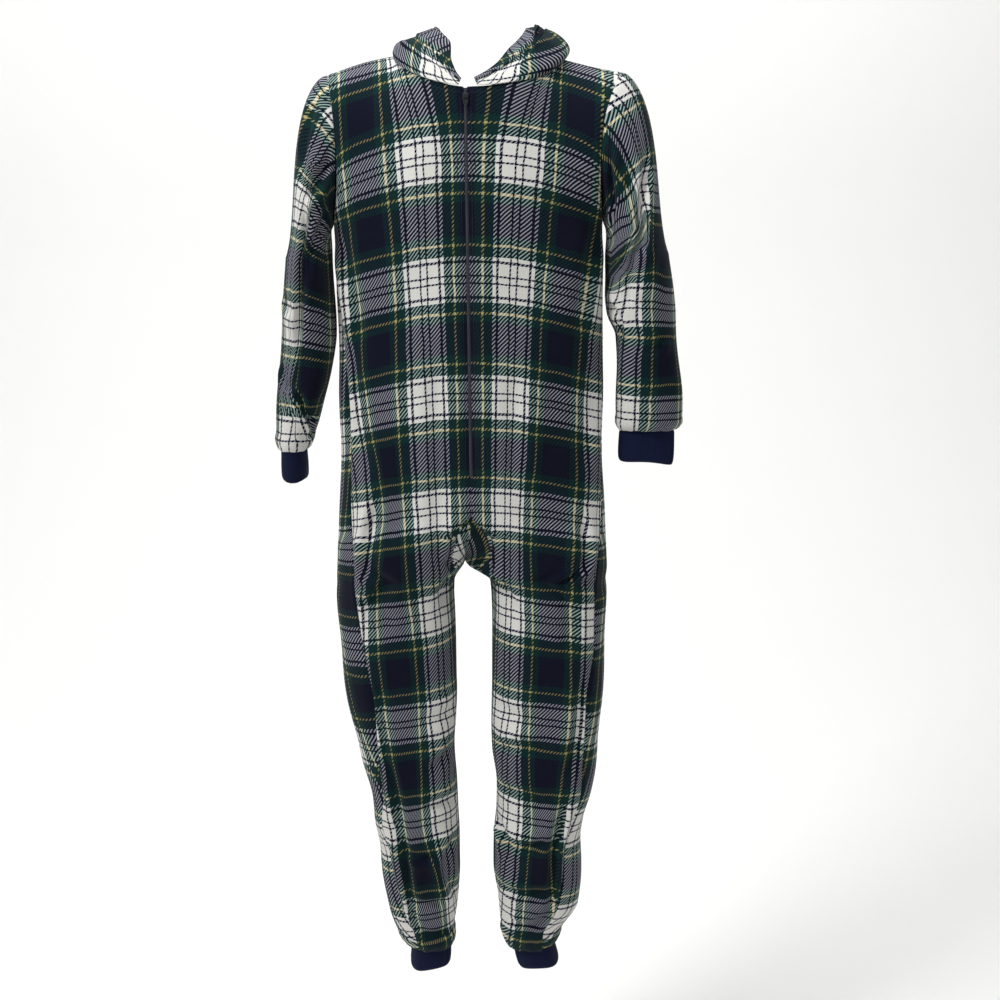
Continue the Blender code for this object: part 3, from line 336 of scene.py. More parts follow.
# A fold is a valley with a rounded lip on one side. Its path is (across, up) points: on a body panel
# mm from its centre edge and level, on a sleeve degrees of turn and row, on the hood degrees of turn
# and share of the way up. Depth, half width and lip are in mm; a lip below 0 is on the path's right.
FOLDS = {
    "front_right": (
        Fold(((128, -530), (136, -586), (147, -640), (158, -700), (164, -760)), 7.0, 9, 5.0),
        Fold(((122, -600), (140, -668), (136, -760)), 5.0, 10, 3.5),
        Fold(((42, -339), (42, -430), (41, -524), (46, -652), (53, -771)), 2.6, 13, 2.0),
        Fold(((176, -186), (158, -262), (147, -345)), 4.5, 11, 3.2),
        Fold(((168, -330), (160, -420), (150, -520)), 3.2, 12, 2.4),
        Fold(((150, -800), (140, -868), (130, -932), (122, -985)), 4.0, 9, 3.2),
        Fold(((126, -932), (120, -977), (117, -1003), (113, -1055)), 5.5, 7, 4.6),
        Fold(((115, -1030), (110, -1093), (109, -1114), (107, -1140), (99, -1177), (85, -1222)), 9.0, 7, 5.6),
        Fold(((22, -1066), (46, -1092), (50, -1120), (36, -1150), (12, -1172)), 4.6, 9, 3.4),
        Fold(((112, -1072), (89, -1088), (57, -1091)), 4.5, 7, 3.2),
        Fold(((104, -1150), (82, -1166), (40, -1165)), 5.0, 7, -3.4),
        Fold(((96, -1192), (65, -1220), (29, -1222)), 4.0, 7, 3.0),
        Fold(((20, -930), (50, -949), (78, -962)), 3.6, 10, 2.6),
        Fold(((13, -1019), (57, -1011), (90, -1022)), 3.8, 9, 2.6),
        Fold(((18, -868), (52, -884), (96, -880)), 2.6, 11, 2.0),
        Fold(((3, -589), (9, -592), (20, -610), (27, -646), (45, -670), (58, -704)), 3.0, 5, 2.2),
    ),
    "front_left": (
        Fold(((60, -380), (57, -470), (56, -575)), 2.6, 13, 2.0),
        Fold(((178, -182), (160, -252), (150, -330)), 4.5, 11, 3.2),
        Fold(((176, -350), (166, -430), (158, -520)), 3.2, 12, 2.4),
        Fold(((168, -800), (161, -880), (150, -930), (133, -978)), 6.5, 9, 5.0),
        Fold(((132, -990), (120, -1060), (118, -1129), (114, -1154), (102, -1200)), 9.0, 7, 5.8),
        Fold(((16, -1046), (50, -1079), (40, -1112)), 6.0, 7, -4.4),
        Fold(((50, -1076), (83, -1076), (114, -1058)), 4.5, 8, 3.2),
        Fold(((28, -1154), (75, -1153), (118, -1140)), 5.0, 8, 3.6),
        Fold(((32, -1202), (70, -1208), (106, -1184)), 4.2, 7, 3.0),
        Fold(((30, -935), (73, -927), (110, -918)), 3.8, 10, 2.8),
        Fold(((26, -1000), (66, -996), (104, -1004)), 3.2, 10, 2.4),
        Fold(((28, -866), (70, -880), (112, -872)), 2.6, 11, 2.0),
        Fold(((146, -560), (158, -606), (170, -650), (174, -700)), 5.0, 8, 3.6),
        Fold(((195, -530), (190, -572), (187, -616)), 4.5, 7, 3.2),
        Fold(((140, -640), (150, -710), (146, -790)), 3.6, 11, 2.8),
        Fold(((2, -589), (3, -592), (14, -607), (35, -634), (74, -680), (84, -704)), 3.0, 5, 2.2),
    ),
    "back_left": (
        Fold(((38, -112), (66, -176), (84, -262)), 2.4, 13, 1.8),
        Fold(((166, -198), (150, -272), (141, -355)), 2.8, 10, 2.0),
        Fold(((62, -330), (58, -430), (67, -522)), 2.0, 14, 1.8),
        Fold(((122, -300), (118, -385), (127, -470)), 2.0, 12, -1.6),
        Fold(((9, -628), (40, -650), (82, -640), (124, -596)), 4.2, 9, 3.2),
        Fold(((20, -694), (58, -708), (98, -684)), 3.6, 8, 2.6),
        Fold(((150, -560), (162, -640), (168, -724)), 4.0, 8, 2.6),
        Fold(((28, -902), (72, -918), (124, -900)), 4.2, 8, 3.0),
        Fold(((40, -946), (84, -958), (132, -934)), 3.6, 8, 2.4),
        Fold(((22, -986), (60, -1003), (102, -990)), 3.0, 8, 2.0),
        Fold(((124, -1012), (113, -1078), (101, -1146)), 5.5, 7, 3.6),
        Fold(((46, -1062), (80, -1078), (108, -1064)), 3.0, 7, 2.2),
        Fold(((28, -1152), (70, -1163), (112, -1140)), 3.6, 7, 2.5),
        Fold(((34, -1202), (68, -1212), (102, -1192)), 3.0, 7, 2.0),
    ),
    "back_right": (
        Fold(((44, -104), (58, -190), (88, -248)), 2.2, 12, 1.8),
        Fold(((160, -208), (152, -262), (136, -340)), 3.2, 11, 2.2),
        Fold(((54, -366), (60, -462), (56, -540)), 2.2, 13, -1.8),
        Fold(((126, -318), (130, -398), (120, -500)), 2.0, 12, 1.6),
        Fold(((14, -640), (52, -662), (94, -640), (130, -584)), 4.6, 9, 3.4),
        Fold(((28, -712), (66, -720), (112, -692)), 3.2, 8, 2.4),
        Fold(((144, -552), (158, -618), (160, -706)), 4.6, 8, 3.0),
        Fold(((36, -912), (84, -924), (118, -906)), 4.4, 8, 3.2),
        Fold(((26, -962), (70, -968), (124, -950)), 3.2, 9, 2.2),
        Fold(((30, -1010), (66, -1020), (96, -1012)), 3.0, 8, 2.0),
        Fold(((116, -980), (108, -1060), (98, -1122)), 6.0, 7, 3.8),
        Fold(((40, -1094), (70, -1108), (100, -1092)), 3.4, 7, 2.4),
        Fold(((24, -1168), (62, -1172), (98, -1160)), 3.4, 7, 2.4),
        Fold(((40, -1214), (72, -1220), (94, -1206)), 2.8, 7, 2.0),
    ),
    "sleeve_left": (
        Fold(((42, 2.4), (50, 3.0), (73, 4.0), (88, 5.4), (100, 6.4)), 6.0, 6, 4.0),
        Fold(((72, 0.2), (79, 1.4), (78, 2.5), (82, 3.3)), 3.5, 7, 2.6),
        Fold(((84, 0.5), (109, 1.3), (121, 2.2), (142, 3.0)), 5.0, 8, 3.6),
        Fold(((96, 5.2), (108, 7.3), (112, 8.6)), 4.5, 7, 3.0),
        Fold(((47, 4.4), (76, 6.8), (87, 9.4), (94, 12)), -2.4, 10, 0.0),
        Fold(((170, 8.3), (138, 9.2), (168, 10.4)), 4.0, 7, 2.0),
        Fold(((60, 9.8), (88, 10.6), (124, 10.2)), 2.2, 8, 1.6),
        Fold(((-36, 2.0), (-70, 3.0), (-112, 3.4)), 4.0, 9, 3.0),
        Fold(((-28, 5.4), (-72, 6.6), (-128, 6.0)), 4.2, 8, 3.0),
        Fold(((-44, 8.2), (-84, 9.4), (-140, 9.0)), 4.4, 8, 3.2),
        Fold(((-52, 11.6), (-92, 12.2), (-136, 11.4)), 3.0, 8, 2.2),
    ),
    "sleeve_right": (
        Fold(((33, 0.5), (43, 1.4), (54, 2.8)), 2.6, 8, 2.0),
        Fold(((93, 0.3), (95, 1.5), (83, 2.8), (67, 3.5)), 6.0, 6, -4.0),
        Fold(((69, 3.1), (76, 3.9), (86, 5.5), (85, 7.6), (83, 9.3), (84, 10.6)), 6.5, 6, 3.8),
        Fold(((132, 1.7), (120, 4), (103, 5.4), (99, 7.6)), 4.0, 8, 2.6),
        Fold(((88, 11.8), (104, 12.8), (136, 13.5), (167, 14.3)), 5.5, 6, 3.6),
        Fold(((34, 10.6), (56, 11.8), (92, 11.6)), 2.6, 7, 2.0),
        Fold(((24, 7.4), (48, 8.3), (74, 8.0)), 2.0, 9, 1.4),
        Fold(((-30, 2.4), (-78, 3.2), (-120, 3.0)), 4.2, 9, 3.0),
        Fold(((-40, 5.0), (-86, 6.2), (-132, 6.2)), 4.0, 8, 2.8),
        Fold(((-36, 8.8), (-88, 9.6), (-130, 8.8)), 4.6, 8, 3.2),
        Fold(((-60, 12.0), (-100, 12.8), (-150, 12.2)), 3.4, 7, 2.4),
    ),
    "hood_left": (
        Fold(((40, 0.12), (56, 0.30), (76, 0.20)), 4.0, 7, 2.4),
        Fold(((84, 0.10), (102, 0.30), (122, 0.40)), 2.8, 10, 1.8),
        Fold(((60, 0.62), (90, 0.70), (120, 0.60)), 3.0, 9, 2.0),
        Fold(((138, 0.24), (148, 0.42), (152, 0.62)), 2.4, 10, 1.6),
    ),
    "hood_right": (
        Fold(((44, 0.10), (60, 0.26), (84, 0.20)), 3.6, 7, 2.4),
        Fold(((90, 0.12), (108, 0.28), (120, 0.42)), 2.8, 10, 1.8),
        Fold(((52, 0.56), (84, 0.66), (116, 0.64)), 3.0, 9, 2.0),
        Fold(((142, 0.22), (154, 0.40), (156, 0.60)), 2.4, 10, 1.6),
    ),
}
# The slight unevenness of hanging fleece: radians per mm across and up, phase, and size in mm.
WAVES = (
    (0.021, 0.013, 0.4, 1.3),
    (0.047, -0.019, 2.1, 0.8),
    (0.012, 0.044, 4.0, 0.7),
    (0.083, 0.031, 1.2, 0.35),
)

# The fronts end in an arch over the fork; the cloth inside it is set back and lies on the cross, on dark
# threads that stand for painted shade.
# (level, mm from the centre edge) down each side of the arch.
FORK_ARCH = {
    "left": ((-590, 0), (-600, 9), (-610, 18), (-634, 36), (-680, 62), (-712, 78)),
    "right": ((-590, 0), (-597, 12), (-610, 20), (-646, 27), (-670, 42), (-704, 56)),
}
ARCH_FADE = 20.0  # the set-back cloth fades in over this much of the arch's top
FORK_TOP = -588.0  # below this level the two fronts meet flat, where a roll would part them
FORK_DEPTH = 11.0
FORK_END = -690.0  # level where the crossed threads stop
FORK_FOOT = -740.0  # level where the legs' own surface begins again
FLAT_SEAM_FOOT = -730.0  # and where the seam below the fork starts to roll again
# The threads inside the arch: the direction of the warp across and down, and the threads, in mm
# from the start of the white group, at the centre edge at a level. They are set so that the recess shows
# the sett's navy and green. This is painted shade over the cloth's real crossed pattern.
Cross = namedtuple("Cross", "across down level warp weft")
FORK_CROSS_PAINTED_DARK = {
    "left": Cross(0.57, 0.82, -635, 100, 8),
    "right": Cross(0.97, 0.26, -635, -10, 29),
}

# Gathers round the end of each leg and sleeve, and the lip of fleece that sags over the cuff.
Lip = namedtuple("Lip", "out sag reach gather")
LIPS = {
    "front_left": Lip(5.0, 9.0, 30, 0.5),
    "front_right": Lip(4.5, 7.0, 28, 0.5),
    "back_left": Lip(4.0, 4.0, 28, 0.6),
    "back_right": Lip(4.0, 5.0, 28, 0.6),
    "sleeve_left": Lip(1.6, 1.5, 22, 0.4),
    "sleeve_right": Lip(2.4, 3.0, 24, 0.5),
}
FOLD_STRENGTH = {"front": 1.25, "back": 1.4, "sleeve": 1.35, "hood": 1.0}
FOLD_FADE = 12.0  # folds fade out over this much cloth before a seam
FOLD_TAPER = 0.24  # and over this share of their own length at each end
# Across a fold, in half widths from its bottom: where its lip and the fainter far lip stand, how
# wide each is and how high.
FOLD_LIPS = ((1.75, 1.05, 1.0), (-2.0, 1.3, 0.35))
INSIDE_RELIEF = 0.6  # share of a fold that shows on the inside
STITCH_INSET = 8.0  # neckline stitches from the neck seam
ZIP_INSET = 4.6  # zip stitches from the front edge
RIM_INSET = 16.0  # hem stitches from the hood's rim
STITCH_GROOVE = 0.7  # how deep a line of stitches presses in, then half its width on each line
NECK_GROOVE = 1.5
ZIP_GROOVE = 1.4
RIM_GROOVE = 1.6
HEM_COLUMNS = slice(24, -3)  # the hood's columns along which its hem stitches run
SEAM_ROLL = 1.3  # how deep the cloth rolls in at a seam
SEAM_REACH = 2.6
SLOT_FADE = 6.0  # how far from the zip the fronts close in again from its slot
YOKE_STRETCH = 1.3  # run of the cloth per mm of level above the chest
CLOTH_CRISP = 62  # degrees between faces past which an edge of cloth shows as one
CROSSED_SHARE = 0.6  # share of a face inside the arch past which its threads are crossed
SOFT_ROWS = 7  # rows that are eased on each side of the chest, and how many times
SOFT_PASSES = 12

# Mesh rows and columns of the sleeves, hood and cuffs, and mm of cloth per degree and per row.
CAP_LINES = 56
ARM_LINES = 70
SLEEVE_COLUMNS = 124
SLEEVE_SCALE = (0.9, 29.0)
HOOD_LINES = 78
HOOD_COLUMNS = 104
HOOD_SCALE = (1.3, 180.0)
HOOD_NECK_LINE = 20  # the row along which the hood's threads are counted
CUFF_ROWS = 22

# A stitch is a thread through rings: share of its length, height over the cloth, radius.
Bend = namedtuple("Bend", "share height radius")
STITCH = (
    Bend(-0.5, -0.35, 0.12),
    Bend(-0.36, 0.05, 0.26),
    Bend(0, 0.22, 0.30),
    Bend(0.36, 0.05, 0.26),
    Bend(0.5, -0.35, 0.12),
)
STITCH_SHARE = 0.82  # share of the pitch that a stitch shows
STITCH_SIGHT = 0.8  # how far ahead a stitch takes its direction
# A zip tooth likewise: mm across the chain, height over its strip, radius.
Tooth = namedtuple("Tooth", "across height radius")
TOOTH = (
    Tooth(-2.0, 0.1, 0.28),
    Tooth(-1.4, 0.42, 0.44),
    Tooth(-0.4, 0.6, 0.50),
    Tooth(0.5, 0.45, 0.42),
    Tooth(0.8, 0.15, 0.25),
)
TOOTH_FLATNESS = 0.7
TUBE_SIDES = 6
COIL_CRISP = 50
STRIP_LINES = 120

# The print: how pale each colour is, how far the pattern drifts and the nap blurs its edges in mm,
# how much a pale stroke narrows, and how much of the crossing colour is brushed over.
PALENESS = {"white": 1.0, "yellow": 0.8, "green": 0.5, "navy": 0.5}
PRINT_DRIFT = 3.0
NAP_BLUR = 0.9
PALE_THINNING = 0.85
BRUSHED_OVER = 0.75

# The stage: the backdrop in mm, the lamps in metres and watts.
FLOOR = -1620.0
FLOOR_FRONT = -14000.0
FLOOR_HALF = 12000.0
SWEEP_START = 1200.0
SWEEP_RADIUS = 1400.0
SWEEP_STEPS = 12
WALL_TOP = 4000.0
Lamp = namedtuple("Lamp", "name spot aim size power")
LAMPS = (
    Lamp("key", (-1.9, -1.5, 1.5), (0, 0, -0.6), 0.7, 62),
    Lamp("fill", (1.6, -3.2, 0.5), (0, 0, -0.5), 2.2, 13),
    Lamp("low fill", (0.2, -3.4, -1.2), (0, 0, -0.9), 1.8, 7),
    Lamp("back", (0.0, 0.4, 2.6), (0, 2.2, -0.6), 3.0, 120),
)
AIR_LIGHT = 0.20
CAMERA_SPOT = (0.038, -2.005, -0.096)
CAMERA_TILT = 76.3
CAMERA_ROLL = -0.6
LENS = 54.0
SENSOR = 36.0


# ---------------------------------------------------------------- curves and tables


def squarer(value):
    """Turns a cosine or sine on a circle into one on the squarer ovals of the rings."""
    return np.sign(value) * np.abs(value) ** (2 / ROUNDNESS)


def power_cos(degrees):
    return squarer(np.cos(np.radians(degrees)))


def power_sin(degrees):
    return squarer(np.sin(np.radians(degrees)))


def hermite(start, leave, end, arrive, s):
    """A cubic from start to end that sets off and comes in along two given slopes."""
    return (
        start * (1 + 2 * s) * (1 - s) ** 2
        + leave * s * (1 - s) ** 2
        + end * s * s * (3 - 2 * s)
        + arrive * s * s * (s - 1)
    )


def read_table(keys, values, at):
    """Reads a smooth curve through a table that never overshoots its rows."""
    keys, values = np.asarray(keys, float), np.asarray(values, float)
    if keys[0] > keys[-1]:
        keys, values = keys[::-1], values[::-1]
    at = min(max(at, keys[0]), keys[-1])
    steps = np.diff(values) / np.diff(keys)
    slopes = np.zeros(len(keys))
    for i in range(1, len(keys) - 1):
        before, after = steps[i - 1], steps[i]
        if before * after > 0:
            slopes[i] = 2 * before * after / (before + after)
    slopes[0], slopes[-1] = steps[0], steps[-1]
    i = int(min(np.searchsorted(keys, at, side="right") - 1, len(keys) - 2))
    width = keys[i + 1] - keys[i]
    share = (at - keys[i]) / width
    return hermite(values[i], slopes[i] * width, values[i + 1], slopes[i + 1] * width, share)


@lru_cache(maxsize=None)
def column_of(rows, name, at, key="level"):
    """Reads one column of a table of named rows at a level, or at another key."""
    return read_table([getattr(r, key) for r in rows], [getattr(r, name) for r in rows], at)


@lru_cache(maxsize=None)
def side_column(side, name, level):
    """Reads one side's column of the rings at a level."""
    rows = RINGS
    if name == "inner":  # the centre line bends sharply where the legs part
        rows = [r for r in RINGS if (r.level - CROTCH) * (level - CROTCH) >= 0]
    return read_table([r.level for r in rows], [getattr(getattr(r, side), name) for r in rows], level)


def unit(vector):
    return vector / max(np.linalg.norm(vector), 1e-9)


def smooth(share):
    """An even step from 0 to 1 that starts and ends gently."""
    share = np.clip(share, 0, 1)
    return share * share * (3 - 2 * share)


def bell(distance, width=1.0):
    """A hump, 1 at no distance, that fades away within two widths."""
    return np.exp(-((distance / width) ** 2))


def arc_lengths(points, axis=0):
    """Running length along rows of points."""
    steps = np.linalg.norm(np.diff(points, axis=axis), axis=-1)
    return np.concatenate([np.zeros_like(np.take(steps, [0], axis)), np.cumsum(steps, axis)], axis)


# ---------------------------------------------------------------- the body


def ring_points(side, level, turns):
    """Points on the ring round one half of the body; turn is 0 at the side, -90 at the front."""
    outer, inner = side_column(side, "outer", level), side_column(side, "inner", level)
    wrap, drop = column_of(RINGS, "wrap", level), column_of(RINGS, "drop", level)
    front, back = column_of(RINGS, "front", level), column_of(RINGS, "back", level)
    radius = (outer - inner) / (1 - power_cos(wrap))
    x = outer - radius + radius * power_cos(turns)
    y = (front + back) / 2 + (back - front) / 2 * power_sin(turns)
    return np.stack([SIGN[side] * x, y, level - drop * (x / outer) ** 2], axis=-1)


@lru_cache(maxsize=None)
def seam_turns(side, face, level):
    """Turns across a panel's share of the ring and the share of its width at each."""
    wrap = column_of(RINGS, "wrap", level)
    start = -wrap if face == "front" else wrap
    turns = np.linspace(start, side_column(side, "seam", level), 61)
    lengths = arc_lengths(ring_points(side, level, turns))
    return turns, lengths / lengths[-1]


def ring_row(side, face, level, shares):
    """Points at given shares of a panel's width at a level."""
    turns, at = seam_turns(side, face, level)
    return ring_points(side, level, np.interp(shares, at, turns))


def neck_point(side, turn):
    """The neckline seam; turn is 0 at the centre front, 90 at the shoulder, 180 at the back."""
    c, s = math.cos(math.radians(turn)), math.sin(math.radians(turn))
    if turn <= 90:
        y = NECK_FRONT * c
        z = FRONT_NECK + (SHOULDER_NECK[side] - FRONT_NECK) * (1 - c) ** NECK_CURVE[side]
    else:
        y = -NECK_BACK * c
        z = SHOULDER_NECK[side] + (BACK_NECK - SHOULDER_NECK[side]) * abs(c) ** 1.5
    return np.array([SIGN[side] * NECK_HALF[side] * s, y, z])


def armhole_point(side, turn):
    """The armhole seam; turn is 0 on the shoulder, 90 in front, 180 under the arm, 270 behind."""
    c, s = math.cos(math.radians(turn)), math.sin(math.radians(turn))
    under = ring_points(side, CHEST, 0)
    middle, half = (SHOULDER_TIP + under[2]) / 2, (SHOULDER_TIP - under[2]) / 2
    end = TIP_X[side] if c > 0 else abs(under[0])
    x = ARMHOLE_X[side] + (end - ARMHOLE_X[side]) * c * c
    return np.array([SIGN[side] * x, -ARMHOLE_DEPTH * s, middle + half * c])


def top_edge(side, face, share):
    """The upper edge of a panel: the neckline, then the shoulder seam out to its tip."""
    corner = NECK_SHARE[face]
    if share <= corner:
        part = 90 * share / corner
        return neck_point(side, part if face == "front" else 180 - part)
    tip = np.array([SIGN[side] * TIP_X[side], 0, SHOULDER_TIP])
    part = (share - corner) / (1 - corner)
    rise = np.array([0, 0, SHOULDER_RISE[side] * math.sin(math.pi * part)])
    return neck_point(side, 90) * (1 - part) + tip * part + rise


def soft_top_edge(side, face, share):
    """The upper edge with its corner rounded away, for the cloth below it to follow."""
    shares = np.clip(share + np.linspace(-0.3, 0.3, 13) * (1 - abs(2 * share - 1)), 0, 1)
    return np.mean([top_edge(side, face, s) for s in shares], axis=0)


def centre_edge(face, v):
    """The centre front or centre back above the chest; v runs from the chest to the neckline."""
    neck_y, neck_z = (NECK_FRONT, FRONT_NECK) if face == "front" else (NECK_BACK, BACK_NECK)
    chest = ring_points("left", CHEST, -90 if face == "front" else 90)
    return np.array([0, chest[1] + (neck_y - chest[1]) * v * v, CHEST + (neck_z - CHEST) * v])


def yoke_rows(side, face, shares, heights):
    """The patch between the chest ring, the centre edge, the armhole and the neck and shoulder."""
    share, v = shares[None, :, None], heights[:, None, None]
    low = ring_row(side, face, CHEST, shares)[None]
    soft = np.array([soft_top_edge(side, face, s) for s in shares])[None]
    high = soft + (np.array([top_edge(side, face, s) for s in shares])[None] - soft) * v**5
    turns = 180 - 180 * heights if face == "front" else 180 + 180 * heights
    centre = np.array([centre_edge(face, h) for h in heights])[:, None]
    arm = np.array([armhole_point(side, t) for t in turns])[:, None]
    lift = np.concatenate([v, v**YOKE_BULGE, v], axis=2)
    aside = np.concatenate([share, share**YOKE_EASE, share], axis=2)
    flat_low = (1 - aside) * centre_edge(face, 0) + aside * armhole_point(side, 180)
    flat_high = (1 - aside) * centre_edge(face, 1) + aside * armhole_point(side, 0)
    ends = (1 - aside) * centre + aside * arm
    return (1 - lift) * (low - flat_low) + lift * (high - flat_high) + ends


# ---------------------------------------------------------------- sleeves, cuffs and hood


def arm_ring(side, level, turn):
    """A point of the ring round an arm; turn is 0 outwards and 90 in front."""
    rows = SLEEVES[side]
    inner, outer = column_of(rows, "inner", level), column_of(rows, "outer", level)
    front, back = column_of(rows, "front", level), column_of(rows, "back", level)
    x = (inner + outer) / 2 + (outer - inner) / 2 * power_cos(turn)
    y = (front + back) / 2 - (back - front) / 2 * power_sin(turn)
    return np.array([SIGN[side] * x, y, level])


def cap_point(side, turn, share):
    """The sleeve's cap, which leaves the armhole sideways and turns down to the level rings."""
    c, s = math.cos(math.radians(turn)), math.sin(math.radians(turn))
    start, end = armhole_point(side, turn), arm_ring(side, SLEEVES[side][0].level, turn)
    reach = np.linalg.norm(end - start)
    leave = unit(np.array([SIGN[side], -0.30 * s, -0.55 + 0.15 * c])) * reach * 0.70
    arrive = unit(np.array([SIGN[side] * 0.20 * (1 + c), 0, -1])) * reach * 0.75
    return hermite(start, leave, end, arrive, share)


def sleeve_point(side, turn, row):
    """A point of a sleeve; rows run from the armhole through the cap to the wrist."""
    if row < CAP_ROWS:
        return cap_point(side, turn, row / CAP_ROWS)
    levels = SLEEVES[side]
    share = (row - CAP_ROWS) / SLEEVE_ROWS
    return arm_ring(side, levels[0].level + (levels[-1].level - levels[0].level) * share, turn)


def hood_point(side, turn, share):
    """A point of half the hood, from the neckline seam (share 0) to the rim (share 1)."""
    rib = Rib(turn, *[column_of(HOOD_RIBS[side], n, turn, "turn") for n in Rib._fields[1:]])
    path = np.array(
        [
            (0, 0),
            (rib.top_q * 0.2, rib.top_h * 0.35),
            (rib.top_q, rib.top_h),
            (rib.top_q * 0.6 + rib.low_q * 0.4, rib.top_h * 0.75 + rib.low_h * 0.25),
            (rib.low_q - rib.gap * 0.1, rib.low_h * 0.8 + rib.top_h * 0.2),
            (rib.low_q + rib.gap * 0.5, rib.low_h),
            (rib.low_q + rib.gap, rib.low_h * 0.8 + rib.rim_h * 0.2),
            (rib.rim_q, rib.low_h * 0.3 + rib.rim_h * 0.7),
            (rib.rim_q - rib.gap * 0.1, rib.rim_h),
        ]
    )
    q, h = spline(path, share)
    angle = math.radians(rib.heading)
    direction = np.array([SIGN[side] * math.sin(angle), -math.cos(angle), 0])
    swell = rib.bulge * math.sin(math.pi * min(share / BULGE_END, 1))
    neck_angle = math.radians(turn)
    outward = np.array([SIGN[side] * math.sin(neck_angle), -math.cos(neck_angle), 0])
    return neck_point(side, turn) + direction * q + outward * swell + np.array([0, 0, h])


def spline(path, share):
    """A smooth curve through a path's points, evenly by number."""
    place = share * (len(path) - 1)
    i = int(min(place, len(path) - 2))
    before, after = path[max(i - 1, 0)], path[min(i + 2, len(path) - 1)]
    return hermite(path[i], (path[i + 1] - before) / 2, path[i + 1], (after - path[i]) / 2, place - i)


# ---------------------------------------------------------------- folding and shells


def rounded_path(path, steps=6):
    """A path's points with its corners rounded, several to each stretch."""
    path = np.asarray(path, float)
    return np.array([spline(path, t) for t in np.linspace(0, 1, (len(path) - 1) * steps + 1)])


def nearest_on(path, spots):
    """For each spot its distance to a path, the side it lies on and how far along, as a share."""
    steps = np.linalg.norm(np.diff(path, axis=0), axis=1)
    starts = np.concatenate([[0], np.cumsum(steps)])
    best = np.full(len(spots), 1e9)
    side, along = np.zeros(len(spots)), np.zeros(len(spots))
    for i, length in enumerate(steps):
        run = (path[i + 1] - path[i]) / length
        offset = spots - path[i]
        t = np.clip(offset @ run, 0, length)
        distance = np.linalg.norm(offset - t[:, None] * run, axis=-1)
        nearer = distance < best
        best = np.where(nearer, distance, best)
        side = np.where(nearer, np.sign(run[0] * offset[:, 1] - run[1] * offset[:, 0]), side)
        along = np.where(nearer, (starts[i] + t) / starts[-1], along)
    return best, side, along


def fold_heights(piece, across, up, scale):
    """How far the folds lift each point; scale is mm per unit across and up."""
    height = np.zeros_like(across)
    here = np.stack([across * scale[0], up * scale[1]], axis=-1)
    strength = FOLD_STRENGTH[piece.split("_")[0]]
    for fold in FOLDS[piece]:
        path = rounded_path(np.array(fold.path, float) * scale)
        reach = 4 * fold.width
        near = np.all((here > path.min(axis=0) - reach) & (here < path.max(axis=0) + reach), axis=-1)
        distance, side, along = nearest_on(path, here[near])
        taper = smooth(np.minimum(along, 1 - along) / FOLD_TAPER)
        place = distance * side * (1 if fold.ridge >= 0 else -1) / fold.width
        lip = sum(size * bell(place - at, width) for at, width, size in FOLD_LIPS)
        height[near] += strength * taper * (abs(fold.ridge) * lip - fold.depth * bell(place))
    return height


def gathers(lengths, distance, lip):
    """Small uneven pleats that fade away from a cuff seam."""
    wave = np.sin(lengths / 2.6 + 0.8 * np.sin(lengths / 13)) + 0.9 * np.sin(lengths / 4.7 + 1.7)
    return lip.gather * wave * bell(distance, lip.reach) * smooth(distance / 3)


def lip_shape(distance, lip):
    """How far the cloth beside a cuff seam stands out and how far it sags."""
    out = lip.out * np.sin(np.pi * np.clip(distance / lip.reach, 0, 1)) ** 0.8
    sag = lip.sag * bell(distance - 0.25 * lip.reach, 0.28 * lip.reach) * smooth(distance / 3)
    return out, sag


def waviness(across, up, scale):
    """The slight unevenness of hanging fleece."""
    x, y = across * scale[0], up * scale[1]
    return sum(size * np.sin(x * a + y * b + c) for a, b, c, size in WAVES)


def creases(piece, across, up, scale=(1.0, 1.0)):
    """How far a piece's folds and its waviness lift each point."""
    return fold_heights(piece, across, up, scale) + waviness(across, up, scale)


def grid_normals(grid):
    """The direction square to the cloth at each point of a grid."""
    normals = np.cross(np.gradient(grid, axis=1), np.gradient(grid, axis=0))
    return normals / np.maximum(np.linalg.norm(normals, axis=2, keepdims=True), 1e-9)


def seam_roll(across_edge, up_edge):
    """How far the cloth rolls in near its seams, from the distances to them."""
    return -SEAM_ROLL * (bell(across_edge, SEAM_REACH) + bell(up_edge, SEAM_REACH))


def groove(distance, inset, half_width):
    """How far a line of stitches presses the cloth in, at a distance from the seam it runs along."""
    return -STITCH_GROOVE * bell(distance - inset, half_width)


def smooth_mesh(name, verts, faces, crisp=None):
    """A smooth-shaded mesh from points in mm; edges sharper than crisp degrees stay crisp."""
    mesh = bpy.data.meshes.new(name)
    mesh.from_pydata((np.asarray(verts) * MM).tolist(), [], faces)
    mesh.shade_smooth()
    if crisp:
        mesh.set_sharp_from_angle(angle=math.radians(crisp))
    return mesh


def shell_faces(rows, columns):
    """Faces of a closed shell: an outer and an inner grid of points, and the rim between them."""
    count = rows * columns
    index = np.arange(count).reshape(rows, columns)
    corners = (index[:-1, :-1], index[:-1, 1:], index[1:, 1:], index[1:, :-1])
    quads = np.stack(corners, axis=-1).reshape(-1, 4)
    edge = np.concatenate([index[0, :], index[1:, -1], index[-1, -2::-1], index[-2:0:-1, 0]])
    after = np.roll(edge, -1)
    rim = np.stack([edge, edge + count, after + count, after], axis=-1)
    return np.concatenate([quads, quads[:, ::-1] + count, rim])


